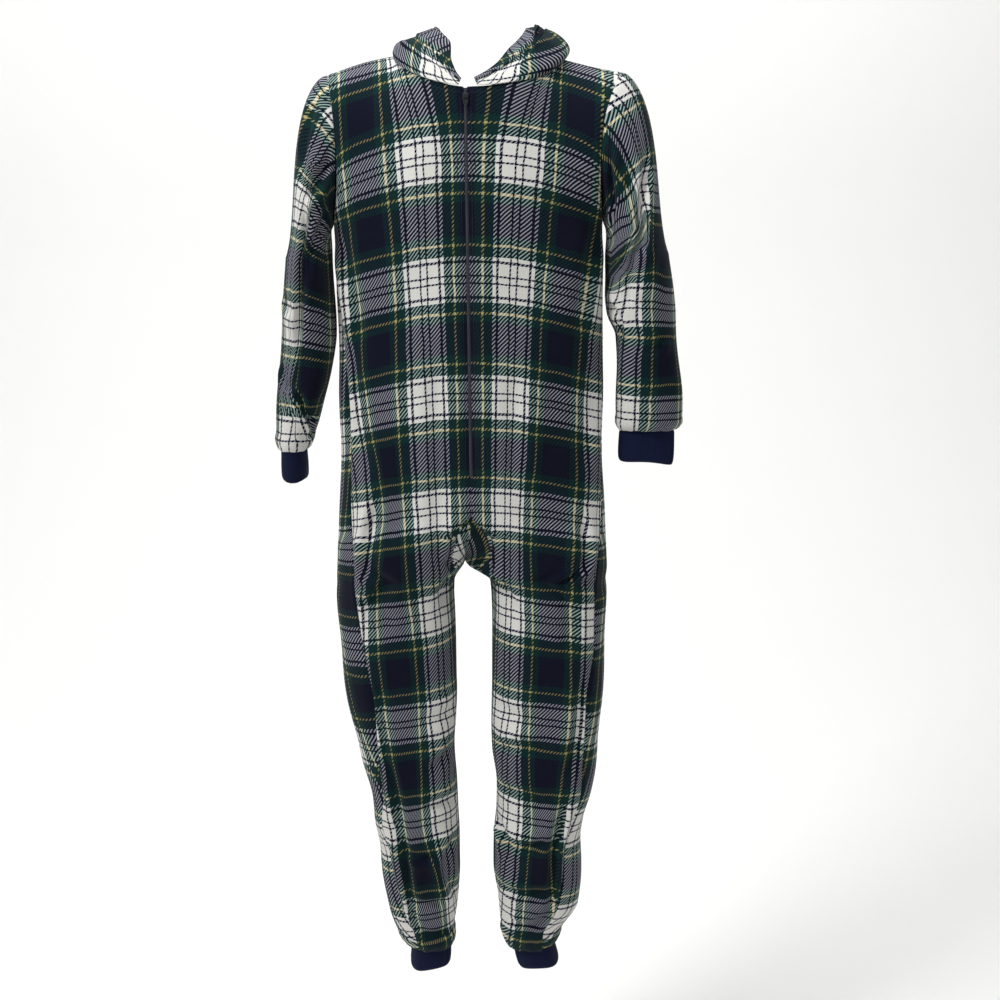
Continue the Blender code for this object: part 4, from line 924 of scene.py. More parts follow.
def shell(name, outer, inner, threads, material, slot, nodes, crossed=None):
    """A cloth shell between two grids of points, carrying its thread counts as a UV map.

    Crossed, where given, is a mask of points and a second grid of thread counts for the faces in it.
    """
    faces = shell_faces(*outer.shape[:2])
    points = np.concatenate([outer.reshape(-1, 3), inner.reshape(-1, 3)])
    mesh = smooth_mesh(name, points, faces.tolist(), CLOTH_CRISP)
    counts = np.tile(threads.reshape(-1, 2), (2, 1))[faces.ravel()]
    if crossed is not None:
        mask, turned = crossed
        within = np.repeat(np.tile(mask.ravel(), 2)[faces].mean(axis=1) > CROSSED_SHARE, 4)
        counts = np.where(within[:, None], np.tile(turned.reshape(-1, 2), (2, 1))[faces.ravel()], counts)
    layer = mesh.uv_layers.new(name="threads")
    layer.data.foreach_set("uv", counts.astype(np.float32).ravel())
    return place(name, mesh, material, slot, nodes)


def place(name, mesh, material, slot=None, nodes=(), body="garment"):
    """Puts a piece in the scene in place of one of its name, riding its body, in its slot."""
    old = bpy.data.objects.get(name)
    if old is not None:
        bpy.data.objects.remove(old)
    piece = bpy.data.objects.new(name, mesh)
    bpy.context.scene.collection.objects.link(piece)
    piece.data.materials.append(material)
    if slot:
        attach(piece, body)
    if nodes:
        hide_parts(*nodes)
    return piece


def lifted(base, heights, outward):
    """A grid moved out along its own normals, and those normals."""
    normals = grid_normals(base)
    middle = normals[normals.shape[0] // 2, normals.shape[1] // 2]
    normals = normals * (1 if middle @ outward > 0 else -1)
    return base + normals * heights[..., None], normals


def cloth_piece(piece_name, base, heights, outward, threads, style, nodes, crossed=None):
    """Makes a fleece shell on a grid lifted by its folds; returns its outer grid and normals."""
    outer, normals = lifted(base, heights, outward)
    inner = base + normals * (heights[..., None] * INSIDE_RELIEF - style.wall / MM)
    name, material = f"{piece_name}_fleece", fleece_material(style)
    piece = shell(name, outer, inner, threads, material, "tartan_fleece", nodes, crossed)
    return outer, normals


def panel_shares(columns):
    """Shares across a panel, closer together at its two seams."""
    ends = np.array([0, 0.004, 0.011])
    return np.concatenate([ends, np.linspace(0.022, 0.978, columns - 2 * len(ends)), 1 - ends[::-1]])


def thread_counts(warp, weft):
    """Threads in mm from the white group's centre as counts of repeats from its edge."""
    return np.stack([(warp + WHITE_CENTRE) / REPEAT, (weft + WHITE_CENTRE) / REPEAT], axis=-1)


# ---------------------------------------------------------------- the body's threads


def thread_line(table, level):
    """How far from the middle a known thread lies at a level."""
    levels, distances = zip(*table)
    return read_table(levels, distances, level)


def front_warp(side, points, levels, lengths):
    """Warp thread of each point of a front, from the lines where known threads lie."""
    lines = FRONT_THREADS[side]
    warp = np.empty(points.shape[:2])
    for i, level in enumerate(levels):
        x = np.abs(points[i, :, 0])
        at = [thread_line(line, level) for line in lines.values()]
        threads = list(lines)
        if level > CROTCH + ZIP_THREAD_ENDS:
            at, threads = [0.0, *at], [ZIP_THREAD, *threads]
        inside = np.interp(x, at, threads)
        first, last = np.interp((at[0], at[-1]), x, lengths[i])
        before = threads[0] - (first - lengths[i])
        after = threads[-1] + (lengths[i] - last)
        warp[i] = np.where(x < at[0], before, np.where(x > at[-1], after, inside))
    return warp


def back_warp(points, lengths):
    """Warp thread of each point of a back, level with the fronts' at the middle of the back."""
    warp = np.empty(points.shape[:2])
    for i, row in enumerate(points):
        x = np.abs(row[:, 0])
        widest = int(np.argmax(x))
        middle = min(BACK_MIDDLE, x[widest])
        at = np.interp(middle, x[: widest + 1], lengths[i, : widest + 1])
        warp[i] = ZIP_THREAD + BACK_MIDDLE + lengths[i] - at
    return warp


def body_threads(side, face, points, levels):
    """Thread counts for a panel's grid."""
    lengths = arc_lengths(points, axis=1)
    chest = int(np.argmin(np.abs(levels - CHEST)))
    weft = np.repeat(levels[:, None], points.shape[1], axis=1)
    rise = arc_lengths(points[chest:], axis=0)
    share = lengths[chest] / lengths[chest, -1]
    weft[chest:] = CHEST + rise * (1 - YOKE_TAKE_UP * share**2)
    if face == "front":
        warp = SIGN[side] * front_warp(side, points, levels, lengths)
    else:
        warp = -SIGN[side] * back_warp(points, lengths)
        weft = weft + BACK_ROW_SHIFT[side]
    return thread_counts(warp, weft - ROW_START)


def body_grid(side, face, style):
    """A panel's points from hem to neck, the level of each row and each column's share across."""
    pitch = style.cloth_pitch / MM
    lower = np.linspace(HEM, CHEST, int(round((CHEST - HEM) / pitch)) + 1)
    upper = np.linspace(0, 1, int(round((FRONT_NECK - CHEST) / pitch)) + 1)[1:]
    shares = panel_shares(style.panel_columns)
    body = np.array([ring_row(side, face, level, shares) for level in lower])
    points = np.concatenate([body, yoke_rows(side, face, shares, upper)])
    levels = np.concatenate([lower, CHEST + (FRONT_NECK - CHEST) * upper])
    return soften_rows(points, len(lower) - 1), levels, shares


def fork_arch(side, level):
    """Half the width of the arch over the fork at a level; below 0 is above the arch."""
    rows = FORK_ARCH[side]
    return np.interp(-level, [-row[0] for row in rows], [row[1] for row in rows], left=-ARCH_FADE)


def set_fork_back(side, points, lengths, up):
    """Sets the cloth under the arch back, in place; returns where that is and its threads."""
    arch = fork_arch(side, up[:, :1])
    inside = smooth((arch - lengths) / 8) * smooth((arch + ARCH_FADE) / ARCH_FADE)
    inside = inside * smooth((up - FORK_FOOT) / 40)
    points[..., 1] += FORK_DEPTH * inside
    # The crossed threads fall on the sett's dark bands: painted shade in the recess under the arch.
    cross = FORK_CROSS_PAINTED_DARK[side]
    warp = cross.warp + cross.across * lengths - cross.down * (up - cross.level)
    weft = cross.weft - cross.down * lengths - cross.across * (up - cross.level)
    return (inside > 0.5) & (up > FORK_END), np.stack([warp, weft], axis=-1) / REPEAT


def front_relief(points, lengths, up, shares):
    """The pressed lines of stitches on a front, and its seam under the fork, which doesn't roll."""
    below = smooth((FORK_TOP - up) / 20) * smooth((up - FLAT_SEAM_FOOT) / 30)
    flat_seam = SEAM_ROLL * bell(lengths, SEAM_REACH) * below
    from_neck = arc_lengths(points[::-1], axis=0)[::-1]
    on_neck = shares[None] < NECK_SHARE["front"] * 0.99
    neck_line = groove(from_neck, STITCH_INSET, NECK_GROOVE) * on_neck
    return flat_seam + neck_line + groove(lengths, ZIP_INSET, ZIP_GROOVE) * (up > ZIP_END)


def front_stitches(name, outer, normals, levels, shares, style):
    """The stitches along a front's neck seam and beside its zip."""
    last = int(np.searchsorted(shares, NECK_SHARE["front"] * 0.97))
    neck = inset_line(outer[::-1, 1:last], normals[::-1, 1:last], STITCH_INSET)
    beside = levels > ZIP_END + 3
    edge = [grid[beside][:-3].swapaxes(0, 1) for grid in (outer, normals)]
    stitch_rows(name, [neck, inset_line(*edge, ZIP_INSET)], style)


def body_panel(side, face, style):
    """Makes one front or back, body and leg in one."""
    name = f"{face}_{side}"
    points, levels, shares = body_grid(side, face, style)
    threads = body_threads(side, face, points, levels)
    lengths = arc_lengths(points, axis=1)
    up = np.repeat(levels[:, None], len(shares), axis=1)
    edges = np.minimum(lengths, lengths[:, -1:] - lengths)
    ends = np.minimum(up - HEM, (FRONT_NECK - up) * YOKE_STRETCH)
    heights = creases(name, lengths, up) * smooth(edges / FOLD_FADE) * smooth(ends / FOLD_FADE)
    heights += seam_roll(edges, ends) + gathers(lengths, up - HEM, LIPS[name])
    out, sag = lip_shape(up - HEM, LIPS[name])
    heights += out
    points[..., 2] -= sag
    crossed, outward = None, (0, 1, 0)
    if face == "front":
        crossed, outward = set_fork_back(side, points, lengths, up), (0, -1, 0)
        heights += front_relief(points, lengths, up, shares)
        points[..., 0] += SIGN[side] * ZIP_GAP_HALF * np.exp(-lengths / SLOT_FADE) * (up > ZIP_END)
    nodes = [f"{name}_{part}" for part in PANEL_NODES]
    outer, normals = cloth_piece(name, points, heights, outward, threads, style, nodes, crossed)
    if face == "front":
        front_stitches(f"{name}_stitches", outer, normals, levels, shares, style)


def soften_rows(points, middle):
    """Rounds the break in a grid at one row, moving it and a few rows to either side."""
    points = points.copy()
    near = slice(middle - SOFT_ROWS, middle + SOFT_ROWS + 1)
    weight = smooth(1 - np.abs(np.arange(-SOFT_ROWS, SOFT_ROWS + 1)) / (SOFT_ROWS + 0.5))[:, None, None]
    for _ in range(SOFT_PASSES):
        mean = (points[:-2] + points[2:]) / 2
        points[near] += weight * (mean[middle - SOFT_ROWS - 1 : middle + SOFT_ROWS] - points[near]) * 0.5
    return points


def inset_line(grid, normals, inset):
    """The line that runs a given distance in from the first row of a grid, and the normals on it."""
    runs = arc_lengths(grid, axis=0)
    columns = range(grid.shape[1])
    line = [[np.interp(inset, runs[:, c], grid[:, c, k]) for k in range(3)] for c in columns]
    facing = [normals[int(np.argmin(np.abs(runs[:, c] - inset))), c] for c in columns]
    return np.array(line), np.array(facing)


def add_skin(faces, start, rings, sides):
    """Adds the faces round a run of rings of points, and a cap at each end."""
    for ring in range(rings - 1):
        for k in range(sides):
            a, b = start + ring * sides + k, start + ring * sides + (k + 1) % sides
            faces.append((a, b, b + sides, a + sides))
    last = start + (rings - 1) * sides
    faces.append(tuple(start + k for k in reversed(range(sides))))
    faces.append(tuple(last + k for k in range(sides)))


def add_tube(verts, faces, centres, radii, first, second):
    """Adds a closed tube through centres; first and second are the directions across it."""
    start = len(verts)
    for centre, radius in zip(centres, radii):
        for k in range(TUBE_SIDES):
            angle = 2 * math.pi * k / TUBE_SIDES
            verts.append(centre + (first * math.sin(angle) + second * math.cos(angle)) * radius)
    add_skin(faces, start, len(radii), TUBE_SIDES)


def at_length(runs, line, length):
    """The point of a line, or the normal on it, at a running length."""
    return np.array([np.interp(length, runs, line[:, k]) for k in range(3)])


def stitch_rows(name, rows, style):
    """Lockstitches along lines on the cloth: short threads that sink into it at both ends."""
    verts, faces = [], []
    pitch = style.stitch_pitch / MM
    for line, facing in rows:
        runs = arc_lengths(line)
        for at in np.arange(pitch, runs[-1] - pitch, pitch):
            here = at_length(runs, line, at)
            out = unit(at_length(runs, facing, at))
            along = unit(at_length(runs, line, at + STITCH_SIGHT) - here)
            across = np.cross(along, out)
            centres = [here + along * s.share * pitch * STITCH_SHARE + out * s.height for s in STITCH]
            add_tube(verts, faces, centres, [s.radius for s in STITCH], out, across)
    return place(name, smooth_mesh(name, verts, faces), thread_material(style), "zip_tape")


# ---------------------------------------------------------------- sleeves and hood


def read_grid(table, rows, turns):
    """Reads a table {row: ((turn, value), ...)} at a grid of rows and turns."""
    keys = sorted(table)
    lines = np.array([np.interp(turns, *zip(*table[k])) for k in keys])
    return np.array([np.interp(rows, keys, column) for column in lines.T]).T


def sleeve_panel(side, style):
    """Makes one sleeve, with its seam under the arm."""
    name = f"sleeve_{side}"
    cap = np.linspace(0, CAP_ROWS, CAP_LINES)
    rows = np.concatenate([cap, np.linspace(CAP_ROWS, CAP_ROWS + SLEEVE_ROWS, ARM_LINES)[1:]])
    seam = np.array([178, 179.2, 179.9])
    turns = np.concatenate([-seam[::-1], np.linspace(-176, 176, SLEEVE_COLUMNS), seam])
    points = np.array([[sleeve_point(side, t, r) for t in turns] for r in rows])
    warp = read_grid(SLEEVE_WARP[side], rows, turns)
    weft = points[..., 2] + read_grid(SLEEVE_DROOP[side], rows, turns)
    threads = thread_counts(SIGN[side] * warp, weft - SLEEVE_ROW_START)
    lengths = arc_lengths(points, axis=1)
    down = arc_lengths(points, axis=0)
    to_cuff = down[-1:] - down
    edges = np.minimum(lengths, lengths[:, -1:] - lengths)
    ends = np.minimum(down, to_cuff)
    beside = smooth(edges / 10)
    heights = creases(name, *np.meshgrid(turns, rows), SLEEVE_SCALE) * smooth(ends / FOLD_FADE)
    heights = heights * beside + seam_roll(edges, ends)
    out, sag = lip_shape(to_cuff, LIPS[name])
    heights += out + gathers(lengths, to_cuff, LIPS[name]) * beside
    points[..., 2] -= sag
    cloth_piece(name, points, heights, (0, -1, 0), threads, style, SLEEVE_NODES[side])


def hood_panel(side, style):
    """Makes one half of the lowered hood, from the neck seam to the hemmed rim."""
    name = f"hood_{side}"
    rows = np.concatenate([[0, 0.006], np.linspace(0.02, 0.98, HOOD_LINES), [0.994, 1.0]])
    turns = np.concatenate([np.linspace(HOOD_START[side], 178, HOOD_COLUMNS), [179, 180]])
    points = np.array([[hood_point(side, t, r) for t in turns] for r in rows])
    points[:, :, 0] += SIGN[side] * HOOD_GAP_HALF * np.exp(-turns / 6)
    points[:, -1, 0] = SIGN[side] * CENTRE_SEAM_HALF
    rise = arc_lengths(points, axis=0)
    round_neck = arc_lengths(points[HOOD_NECK_LINE : HOOD_NECK_LINE + 1], axis=1)[0]
    middle = np.interp(rows, *zip(*HOOD_MIDDLE[side]))
    warp = np.interp(middle, turns, round_neck)[:, None] - round_neck[None]
    threads = thread_counts(SIGN[side] * warp, rise)
    across, along = np.meshgrid(turns, rows)
    ends = np.minimum(rise, rise[-1:] - rise)
    near_front, near_back = smooth(across / 12), smooth((180 - across) / 8)
    heights = creases(name, across, along, HOOD_SCALE) * smooth(ends / FOLD_FADE)
    heights = heights * near_back * near_front + seam_roll(np.inf, ends)
    heights += groove(rise[-1:] - rise, RIM_INSET, RIM_GROOVE) * near_front
    outer, normals = cloth_piece(name, points, heights, (0, -1, 0), threads, style, [name])
    rim = inset_line(outer[::-1, HEM_COLUMNS], normals[::-1, HEM_COLUMNS], RIM_INSET)
    stitch_rows(f"{name}_stitches", [rim], style)


# ---------------------------------------------------------------- rib cuffs


def cuff_top(joint, side, turns):
    """The seam that a cuff hangs from, at turns round the sleeve or the leg."""
    if joint == "wrist":
        return np.array([sleeve_point(side, t, CAP_ROWS + SLEEVE_ROWS) for t in turns])
    front, back = seam_turns(side, "front", HEM)[0], seam_turns(side, "back", HEM)[0]
    ring = np.concatenate([front, back[::-1][1:]])
    even = np.interp(np.linspace(0, 1, len(turns)), np.linspace(0, 1, len(ring)), ring)
    return ring_points(side, HEM, even)


def cuff_piece(name, style):
    """Makes a rib cuff, from its seam down to its free edge."""
    spec = CUFFS[name]
    joint, _, side = name.split("_")
    turns = np.linspace(0, 360, style.cuff_columns + 1)
    top = cuff_top(joint, side, turns)
    offset = (top - top[:-1].mean(axis=0))[:, :2]
    angles = np.degrees(np.arctan2(offset[:, 1], SIGN[side] * offset[:, 0]))
    sway = CUFF_SWAY * np.sin(np.radians(angles) * 3 + spec.centre)
    rows = []
    for share in np.linspace(0, 1, CUFF_ROWS):
        swell = CUFF_SWELL * math.sin(math.pi * share)
        x = spec.centre + spec.foot_x + (spec.half_width + swell) * power_cos(angles)
        y = spec.y + (spec.half_depth + swell) * power_sin(angles)
        z = spec.bottom + spec.foot_rise * power_cos(angles) / 2 + sway * share
        foot = np.stack([SIGN[side] * x, y, z], axis=-1)
        rows.append(top * (1 - share) + foot * share)
    points = np.array(rows)
    share = np.linspace(0, 1, CUFF_ROWS)[:, None]
    to_end = np.minimum(share, 1 - share)
    ribs = np.cos(np.radians(turns) * style.cuff_ribs)
    relief = style.rib_depth / MM / 2 * ribs[None] * smooth(to_end / 0.06)
    flat = points - points.mean(axis=1, keepdims=True)
    flat[..., 2] = 0
    outward = flat / np.linalg.norm(flat, axis=-1, keepdims=True)
    roll = -CUFF_ROLL * bell(to_end * CUFF_HEIGHT, 2.0)
    outer = points + outward * (relief + roll)[..., None]
    inner = points + outward * (-relief - CUFF_WALL)[..., None]
    run, height = arc_lengths(points, axis=1), np.repeat(share, len(turns), axis=1) * CUFF_HEIGHT
    threads = np.stack([run, height], axis=-1) / REPEAT
    piece = shell(f"{name}_rib", outer, inner, threads, rib_material(style), "navy_rib", [name])


# ---------------------------------------------------------------- zip


def front_line(level):
    """The centre front's outer point and outward direction at a level."""
    v = (level - CHEST) / (FRONT_NECK - CHEST)
    if v > 0:
        point, step = centre_edge("front", v), centre_edge("front", v + 0.01)
    else:
        point, step = ring_points("left", level, -90), ring_points("left", level + 2, -90)
    up = unit(step - point)
    return point, np.array([0, -up[2], up[1]])


def zip_coil(style):
    """The chain's base strip and two rows of interlocking coil teeth."""
    levels = np.linspace(ZIP_END, ZIP_TOP, STRIP_LINES)
    verts, faces = [], []
    half, thick = CHAIN_HALF, STRIP_THICK
    for level in levels:
        point, normal = front_line(level)
        face = point - normal * (CHAIN_SINK + STRIP_THICK)
        for x, depth in ((-half, 0), (half, 0), (half, thick), (-half, thick)):
            verts.append(face + np.array([x, 0, 0]) - normal * depth)
    add_skin(faces, 0, len(levels), 4)
    pitch = style.tooth_pitch / MM
    for i in range(2 * int((ZIP_TOP - ZIP_END - 2) / pitch)):
        side = 1 if i % 2 else -1
        point, normal = front_line(ZIP_END + 1 + i * pitch / 2)
        up = np.array([0, -normal[2], normal[1]]) * (1 if normal[1] > 0 else -1)
        base = point - normal * (CHAIN_SINK + STRIP_THICK)
        centres = [base + np.array([-side * t.across, 0, 0]) + normal * t.height for t in TOOTH]
        add_tube(verts, faces, centres, [t.radius for t in TOOTH], normal * TOOTH_FLATNESS, up)
    mesh = smooth_mesh("zip_coil", verts, faces, COIL_CRISP)
    return place("zip_coil", mesh, coil_material(style), "zip_coil", ["zip_chain"])


# ---------------------------------------------------------------- materials


def srgb(text):
    """An sRGB hex colour as linear RGBA."""
    values = [int(text[i : i + 2], 16) / 255 for i in (1, 3, 5)]
    return (*[v / 12.92 if v <= 0.04045 else ((v + 0.055) / 1.055) ** 2.4 for v in values], 1.0)


def add(tree, kind, settings=None, links=None):
    """Adds a node, sets its properties and input values, and links its inputs."""
    node = tree.nodes.new(kind)
    for key, value in (settings or {}).items():
        if isinstance(key, str) and hasattr(node, key):
            setattr(node, key, value)
        else:
            node.inputs[key].default_value = value
    for key, output in (links or {}).items():
        tree.links.new(output, node.inputs[key])
    return node


def material_of(name, values):
    """Turns a function that wires up a shader into one that gives its material, made once."""

    def wrap(wire):
        def build(style):
            material = bpy.data.materials.get(name)
            if material is not None:
                return material
            material = bpy.data.materials.new(name)
            material.use_nodes = True
            tree = material.node_tree
            tree.nodes.clear()
            shader = add(tree, "ShaderNodeBsdfPrincipled", values)
            add(tree, "ShaderNodeOutputMaterial", None, {"Surface": shader.outputs["BSDF"]})
            wire(style, tree, shader)
            return material

        build.__doc__ = wire.__doc__
        return build

    return wrap


def grain(tree, shader, vector, kind, settings, colour, shades):
    """Lays a texture between two shades of a colour; returns the texture's value."""
    texture = add(tree, kind, settings, {"Vector": vector}).outputs["Fac"]
    low, high = [(*[value * shade for value in colour[:3]], 1.0) for shade in shades]
    tone = add(tree, "ShaderNodeMix", {"data_type": "RGBA", 6: low, 7: high}, {"Factor": texture})
    tree.links.new(tone.outputs[2], shader.inputs["Base Color"])
    return texture


def sett_ramp(tree, thread, style):
    """Looks a thread's colour up in the sett; alpha tells how pale its print is."""
    turn = add(tree, "ShaderNodeMath", {"operation": "FRACT"}, {0: thread})
    ramp = add(tree, "ShaderNodeValToRGB", None, {"Fac": turn.outputs[0]})
    ramp.color_ramp.interpolation = "CONSTANT"
    total, at = sum(width for _, width in SETT), 0.0
    marks = ramp.color_ramp.elements
    for i, (colour, width) in enumerate(SETT):
        mark = marks[i] if i < 2 else marks.new(at / total)
        mark.position = at / total
        mark.color = (*getattr(style, colour)[:3], PALENESS[colour])
        at += width
    return ramp


def thread_steps(tree, uv):
    """Each direction's thread count: as cut, drifted by the print, and blurred by the nap."""
    fuzz = add(tree, "ShaderNodeTexNoise", {"Scale": REPEAT / 1.1, "Detail": 2.0}, {"Vector": uv})
    drift = add(tree, "ShaderNodeTexNoise", {"Scale": 5.0, "Detail": 1.0}, {"Vector": uv})
    parts = add(tree, "ShaderNodeSeparateXYZ", None, {0: uv})
    both = []
    for axis, pick in ((0, "Red"), (1, "Green")):
        steps = [parts.outputs[axis]]
        for noise, reach in ((drift, PRINT_DRIFT), (fuzz, NAP_BLUR)):
            split = add(tree, "ShaderNodeSeparateColor", None, {0: noise.outputs["Color"]})
            centred = add(
                tree, "ShaderNodeMath", {"operation": "SUBTRACT", 1: 0.5}, {0: split.outputs[pick]}
            )
            moved = add(
                tree,
                "ShaderNodeMath",
                {"operation": "MULTIPLY_ADD", 1: reach / REPEAT},
                {0: centred.outputs[0], 2: steps[-1]},
            )
            steps.append(moved.outputs[0])
        both.append(steps)
    return both


@material_of(
    "Printed tartan fleece",
    {"Roughness": 0.95, "Specular IOR Level": 0.08, "Sheen Weight": 0.05, "Sheen Roughness": 0.5},
)
def fleece_material(style, tree, shader):
    """Printed polar fleece: a tartan in soft diagonal strokes under a short brushed nap."""
    uv = add(tree, "ShaderNodeUVMap", {"uv_map": "threads"}).outputs["UV"]
    warp_steps, weft_steps = thread_steps(tree, uv)
    warp, weft = sett_ramp(tree, warp_steps[-1], style), sett_ramp(tree, weft_steps[-1], style)
    # Diagonal strokes, warp colour on one and weft colour on the next. The print's are 3 mm apart
    # and are drawn 4 mm apart, the finest that shows.
    slope = add(tree, "ShaderNodeMath", {"operation": "SUBTRACT"}, {0: warp_steps[1], 1: weft_steps[1]})
    waves = 2 * math.pi * REPEAT / (style.stroke_pitch / MM)
    stroke = add(tree, "ShaderNodeMath", {"operation": "MULTIPLY", 1: waves}, {0: slope.outputs[0]})
    wave = add(tree, "ShaderNodeMath", {"operation": "SINE"}, {0: stroke.outputs[0]})
    # White prints thinner than what it crosses, so the darker stroke is the wider one.
    paler = {0: warp.outputs["Alpha"], 1: weft.outputs["Alpha"]}
    pale = add(tree, "ShaderNodeMath", {"operation": "SUBTRACT"}, paler)
    level = add(
        tree,
        "ShaderNodeMath",
        {"operation": "MULTIPLY_ADD", 1: PALE_THINNING},
        {0: pale.outputs[0], 2: wave.outputs[0]},
    )
    contrast = add(tree, "ShaderNodeMath", {"operation": "ABSOLUTE"}, {0: pale.outputs[0]})
    # A thin pale stroke between dark ones loses some of its light to their fibres.
    dulled = add(
        tree,
        "ShaderNodeMapRange",
        {"From Min": 0.2, "From Max": 0.3, "To Min": 1.0, "To Max": 0.6},
        {"Value": contrast.outputs[0]},
    )
    choose = add(
        tree,
        "ShaderNodeMapRange",
        {"From Min": -0.25, "From Max": 0.25, "interpolation_type": "SMOOTHSTEP"},
        {"Value": level.outputs[0]},
    )
    printed, crossing = [
        add(
            tree,
            "ShaderNodeMix",
            {"data_type": "RGBA"},
            {"Factor": choose.outputs[0], 6: low.outputs["Color"], 7: high.outputs["Color"]},
        ).outputs[2]
        for low, high in ((warp, weft), (weft, warp))
    ]
    # The nap brushes some of the crossing colour over each stroke: mint in the green bands, slate
    # in the navy ones.
    hue = add(tree, "ShaderNodeSeparateColor", {"mode": "HSV"}, {0: crossing})
    product = {"operation": "MULTIPLY"}
    share = add(tree, "ShaderNodeMath", {**product, 1: BRUSHED_OVER}, {0: contrast.outputs[0]})
    depth = add(tree, "ShaderNodeMath", product, {0: hue.outputs[1], 1: share.outputs[0]})
    tint = add(
        tree, "ShaderNodeCombineColor", {"mode": "HSV", 2: 1.0}, {0: hue.outputs[0], 1: depth.outputs[0]}
    )
    # Short fibres lying every way make the print a little lighter and darker from spot to spot.
    fibres = {"Scale": REPEAT / 0.9, "Detail": 3.0, "Roughness": 0.6}
    nap = add(tree, "ShaderNodeTexNoise", fibres, {"Vector": uv})
    shade = add(
        tree,
        "ShaderNodeMapRange",
        {"From Min": 0.3, "From Max": 0.7, "To Min": 0.72, "To Max": 1.22},
        {"Value": nap.outputs["Fac"]},
    )
    light = add(tree, "ShaderNodeMath", product, {0: shade.outputs[0], 1: dulled.outputs[0]})
    colour = printed
    for factor in (light.outputs[0], tint.outputs[0]):
        multiply = {"data_type": "RGBA", "blend_type": "MULTIPLY", "Factor": 1.0}
        colour = add(tree, "ShaderNodeMix", multiply, {6: colour, 7: factor}).outputs[2]
    tree.links.new(colour, shader.inputs["Base Color"])
    height = add(tree, "ShaderNodeTexNoise", {"Scale": REPEAT / 1.6, "Detail": 4.0}, {"Vector": uv})
    bump = add(
        tree, "ShaderNodeBump", {"Strength": 0.6, "Distance": 1.2 * MM}, {"Height": height.outputs["Fac"]}
    )
    tree.links.new(bump.outputs[0], shader.inputs["Normal"])


@material_of("Navy rib knit", {"Roughness": 0.9, "Specular IOR Level": 0.1, "Sheen Weight": 0.05})
def rib_material(style, tree, shader):
    """Cotton rib knit in navy: fine upright loops, dull, with a faint bloom of fibre."""
    uv = add(tree, "ShaderNodeUVMap", {"uv_map": "threads"}).outputs["UV"]
    parts = add(tree, "ShaderNodeSeparateXYZ", None, {0: uv})
    waves = 2 * math.pi * REPEAT / 1.5  # a loop is 1.5 mm high
    loops = add(tree, "ShaderNodeMath", {"operation": "MULTIPLY", 1: waves}, {0: parts.outputs[1]})
    wave = add(tree, "ShaderNodeMath", {"operation": "SINE"}, {0: loops.outputs[0]})
    settings = {"Scale": REPEAT / 1.2, "Detail": 3.0}
    lint = grain(tree, shader, uv, "ShaderNodeTexNoise", settings, style.cuff, (0.6, 1.0))
    height = add(
        tree, "ShaderNodeMath", {"operation": "MULTIPLY_ADD", 1: 0.25}, {0: wave.outputs[0], 2: lint}
    )
    bump = add(
        tree, "ShaderNodeBump", {"Strength": 0.5, "Distance": 0.8 * MM}, {"Height": height.outputs[0]}
    )
    tree.links.new(bump.outputs[0], shader.inputs["Normal"])


@material_of("Woven zip tape", {"Roughness": 0.8})
def tape_material(style, tree, shader):
    """Woven polyester tape: a fine herringbone, slightly smoother than the fleece."""
    spot = add(tree, "ShaderNodeTexCoord").outputs["Object"]
    settings = {"Scale": 500.0, "Distortion": 0.5, "bands_direction": "DIAGONAL"}
    weave = grain(tree, shader, spot, "ShaderNodeTexWave", settings, style.zip_cloth, (0.5, 1.0))
    bump = add(tree, "ShaderNodeBump", {"Strength": 0.4, "Distance": 0.3 * MM}, {"Height": weave})
    tree.links.new(bump.outputs[0], shader.inputs["Normal"])


@material_of("Spun sewing thread", {"Roughness": 0.75})
def thread_material(style, tree, shader):
    """Spun polyester sewing thread: matt, with the faint twist of its plies."""
    spot = add(tree, "ShaderNodeTexCoord").outputs["Object"]
    settings = {"Scale": 900.0, "bands_direction": "DIAGONAL"}
    grain(tree, shader, spot, "ShaderNodeTexWave", settings, style.thread, (1.0, 1.6))


@material_of("Nylon zip coil", {"Roughness": 0.42, "IOR": 1.53})
def coil_material(style, tree, shader):
    """Dyed nylon monofilament: satin, catching a thin highlight along the teeth."""
    spot = add(tree, "ShaderNodeTexCoord").outputs["Object"]
    settings = {"Scale": 900.0, "Detail": 2.0}
    grain(tree, shader, spot, "ShaderNodeTexNoise", settings, style.zip_cloth, (1.0, 1.5))


@material_of("Lacquered zip metal", {"Metallic": 0.7})
def metal_material(style, tree, shader):
    """Zinc alloy under dark lacquer, rubbed a little by use."""
    spot = add(tree, "ShaderNodeTexCoord").outputs["Object"]
    settings = {"Scale": 600.0, "Detail": 4.0}
    wear = grain(tree, shader, spot, "ShaderNodeTexNoise", settings, style.zip_metal, (1.0, 1.8))
    rough = add(tree, "ShaderNodeMapRange", {"To Min": 0.25, "To Max": 0.5}, {"Value": wear})
    tree.links.new(rough.outputs[0], shader.inputs["Roughness"])


@material_of("Studio paper", {"Roughness": 0.9})
def paper_material(style, tree, shader):
    """Matt pale studio paper with the faintest mottling."""
    spot = add(tree, "ShaderNodeTexCoord").outputs["Object"]
    settings = {"Scale": 3.0, "Detail": 3.0}
    grain(tree, shader, spot, "ShaderNodeTexNoise", settings, style.paper, (0.985, 1.0))


def dress_node(name, material):
    """Gives a CAD node that keeps its shape a finer material."""
    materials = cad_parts[name].data.materials
    materials.clear()
    materials.append(material)


# ---------------------------------------------------------------- the stage


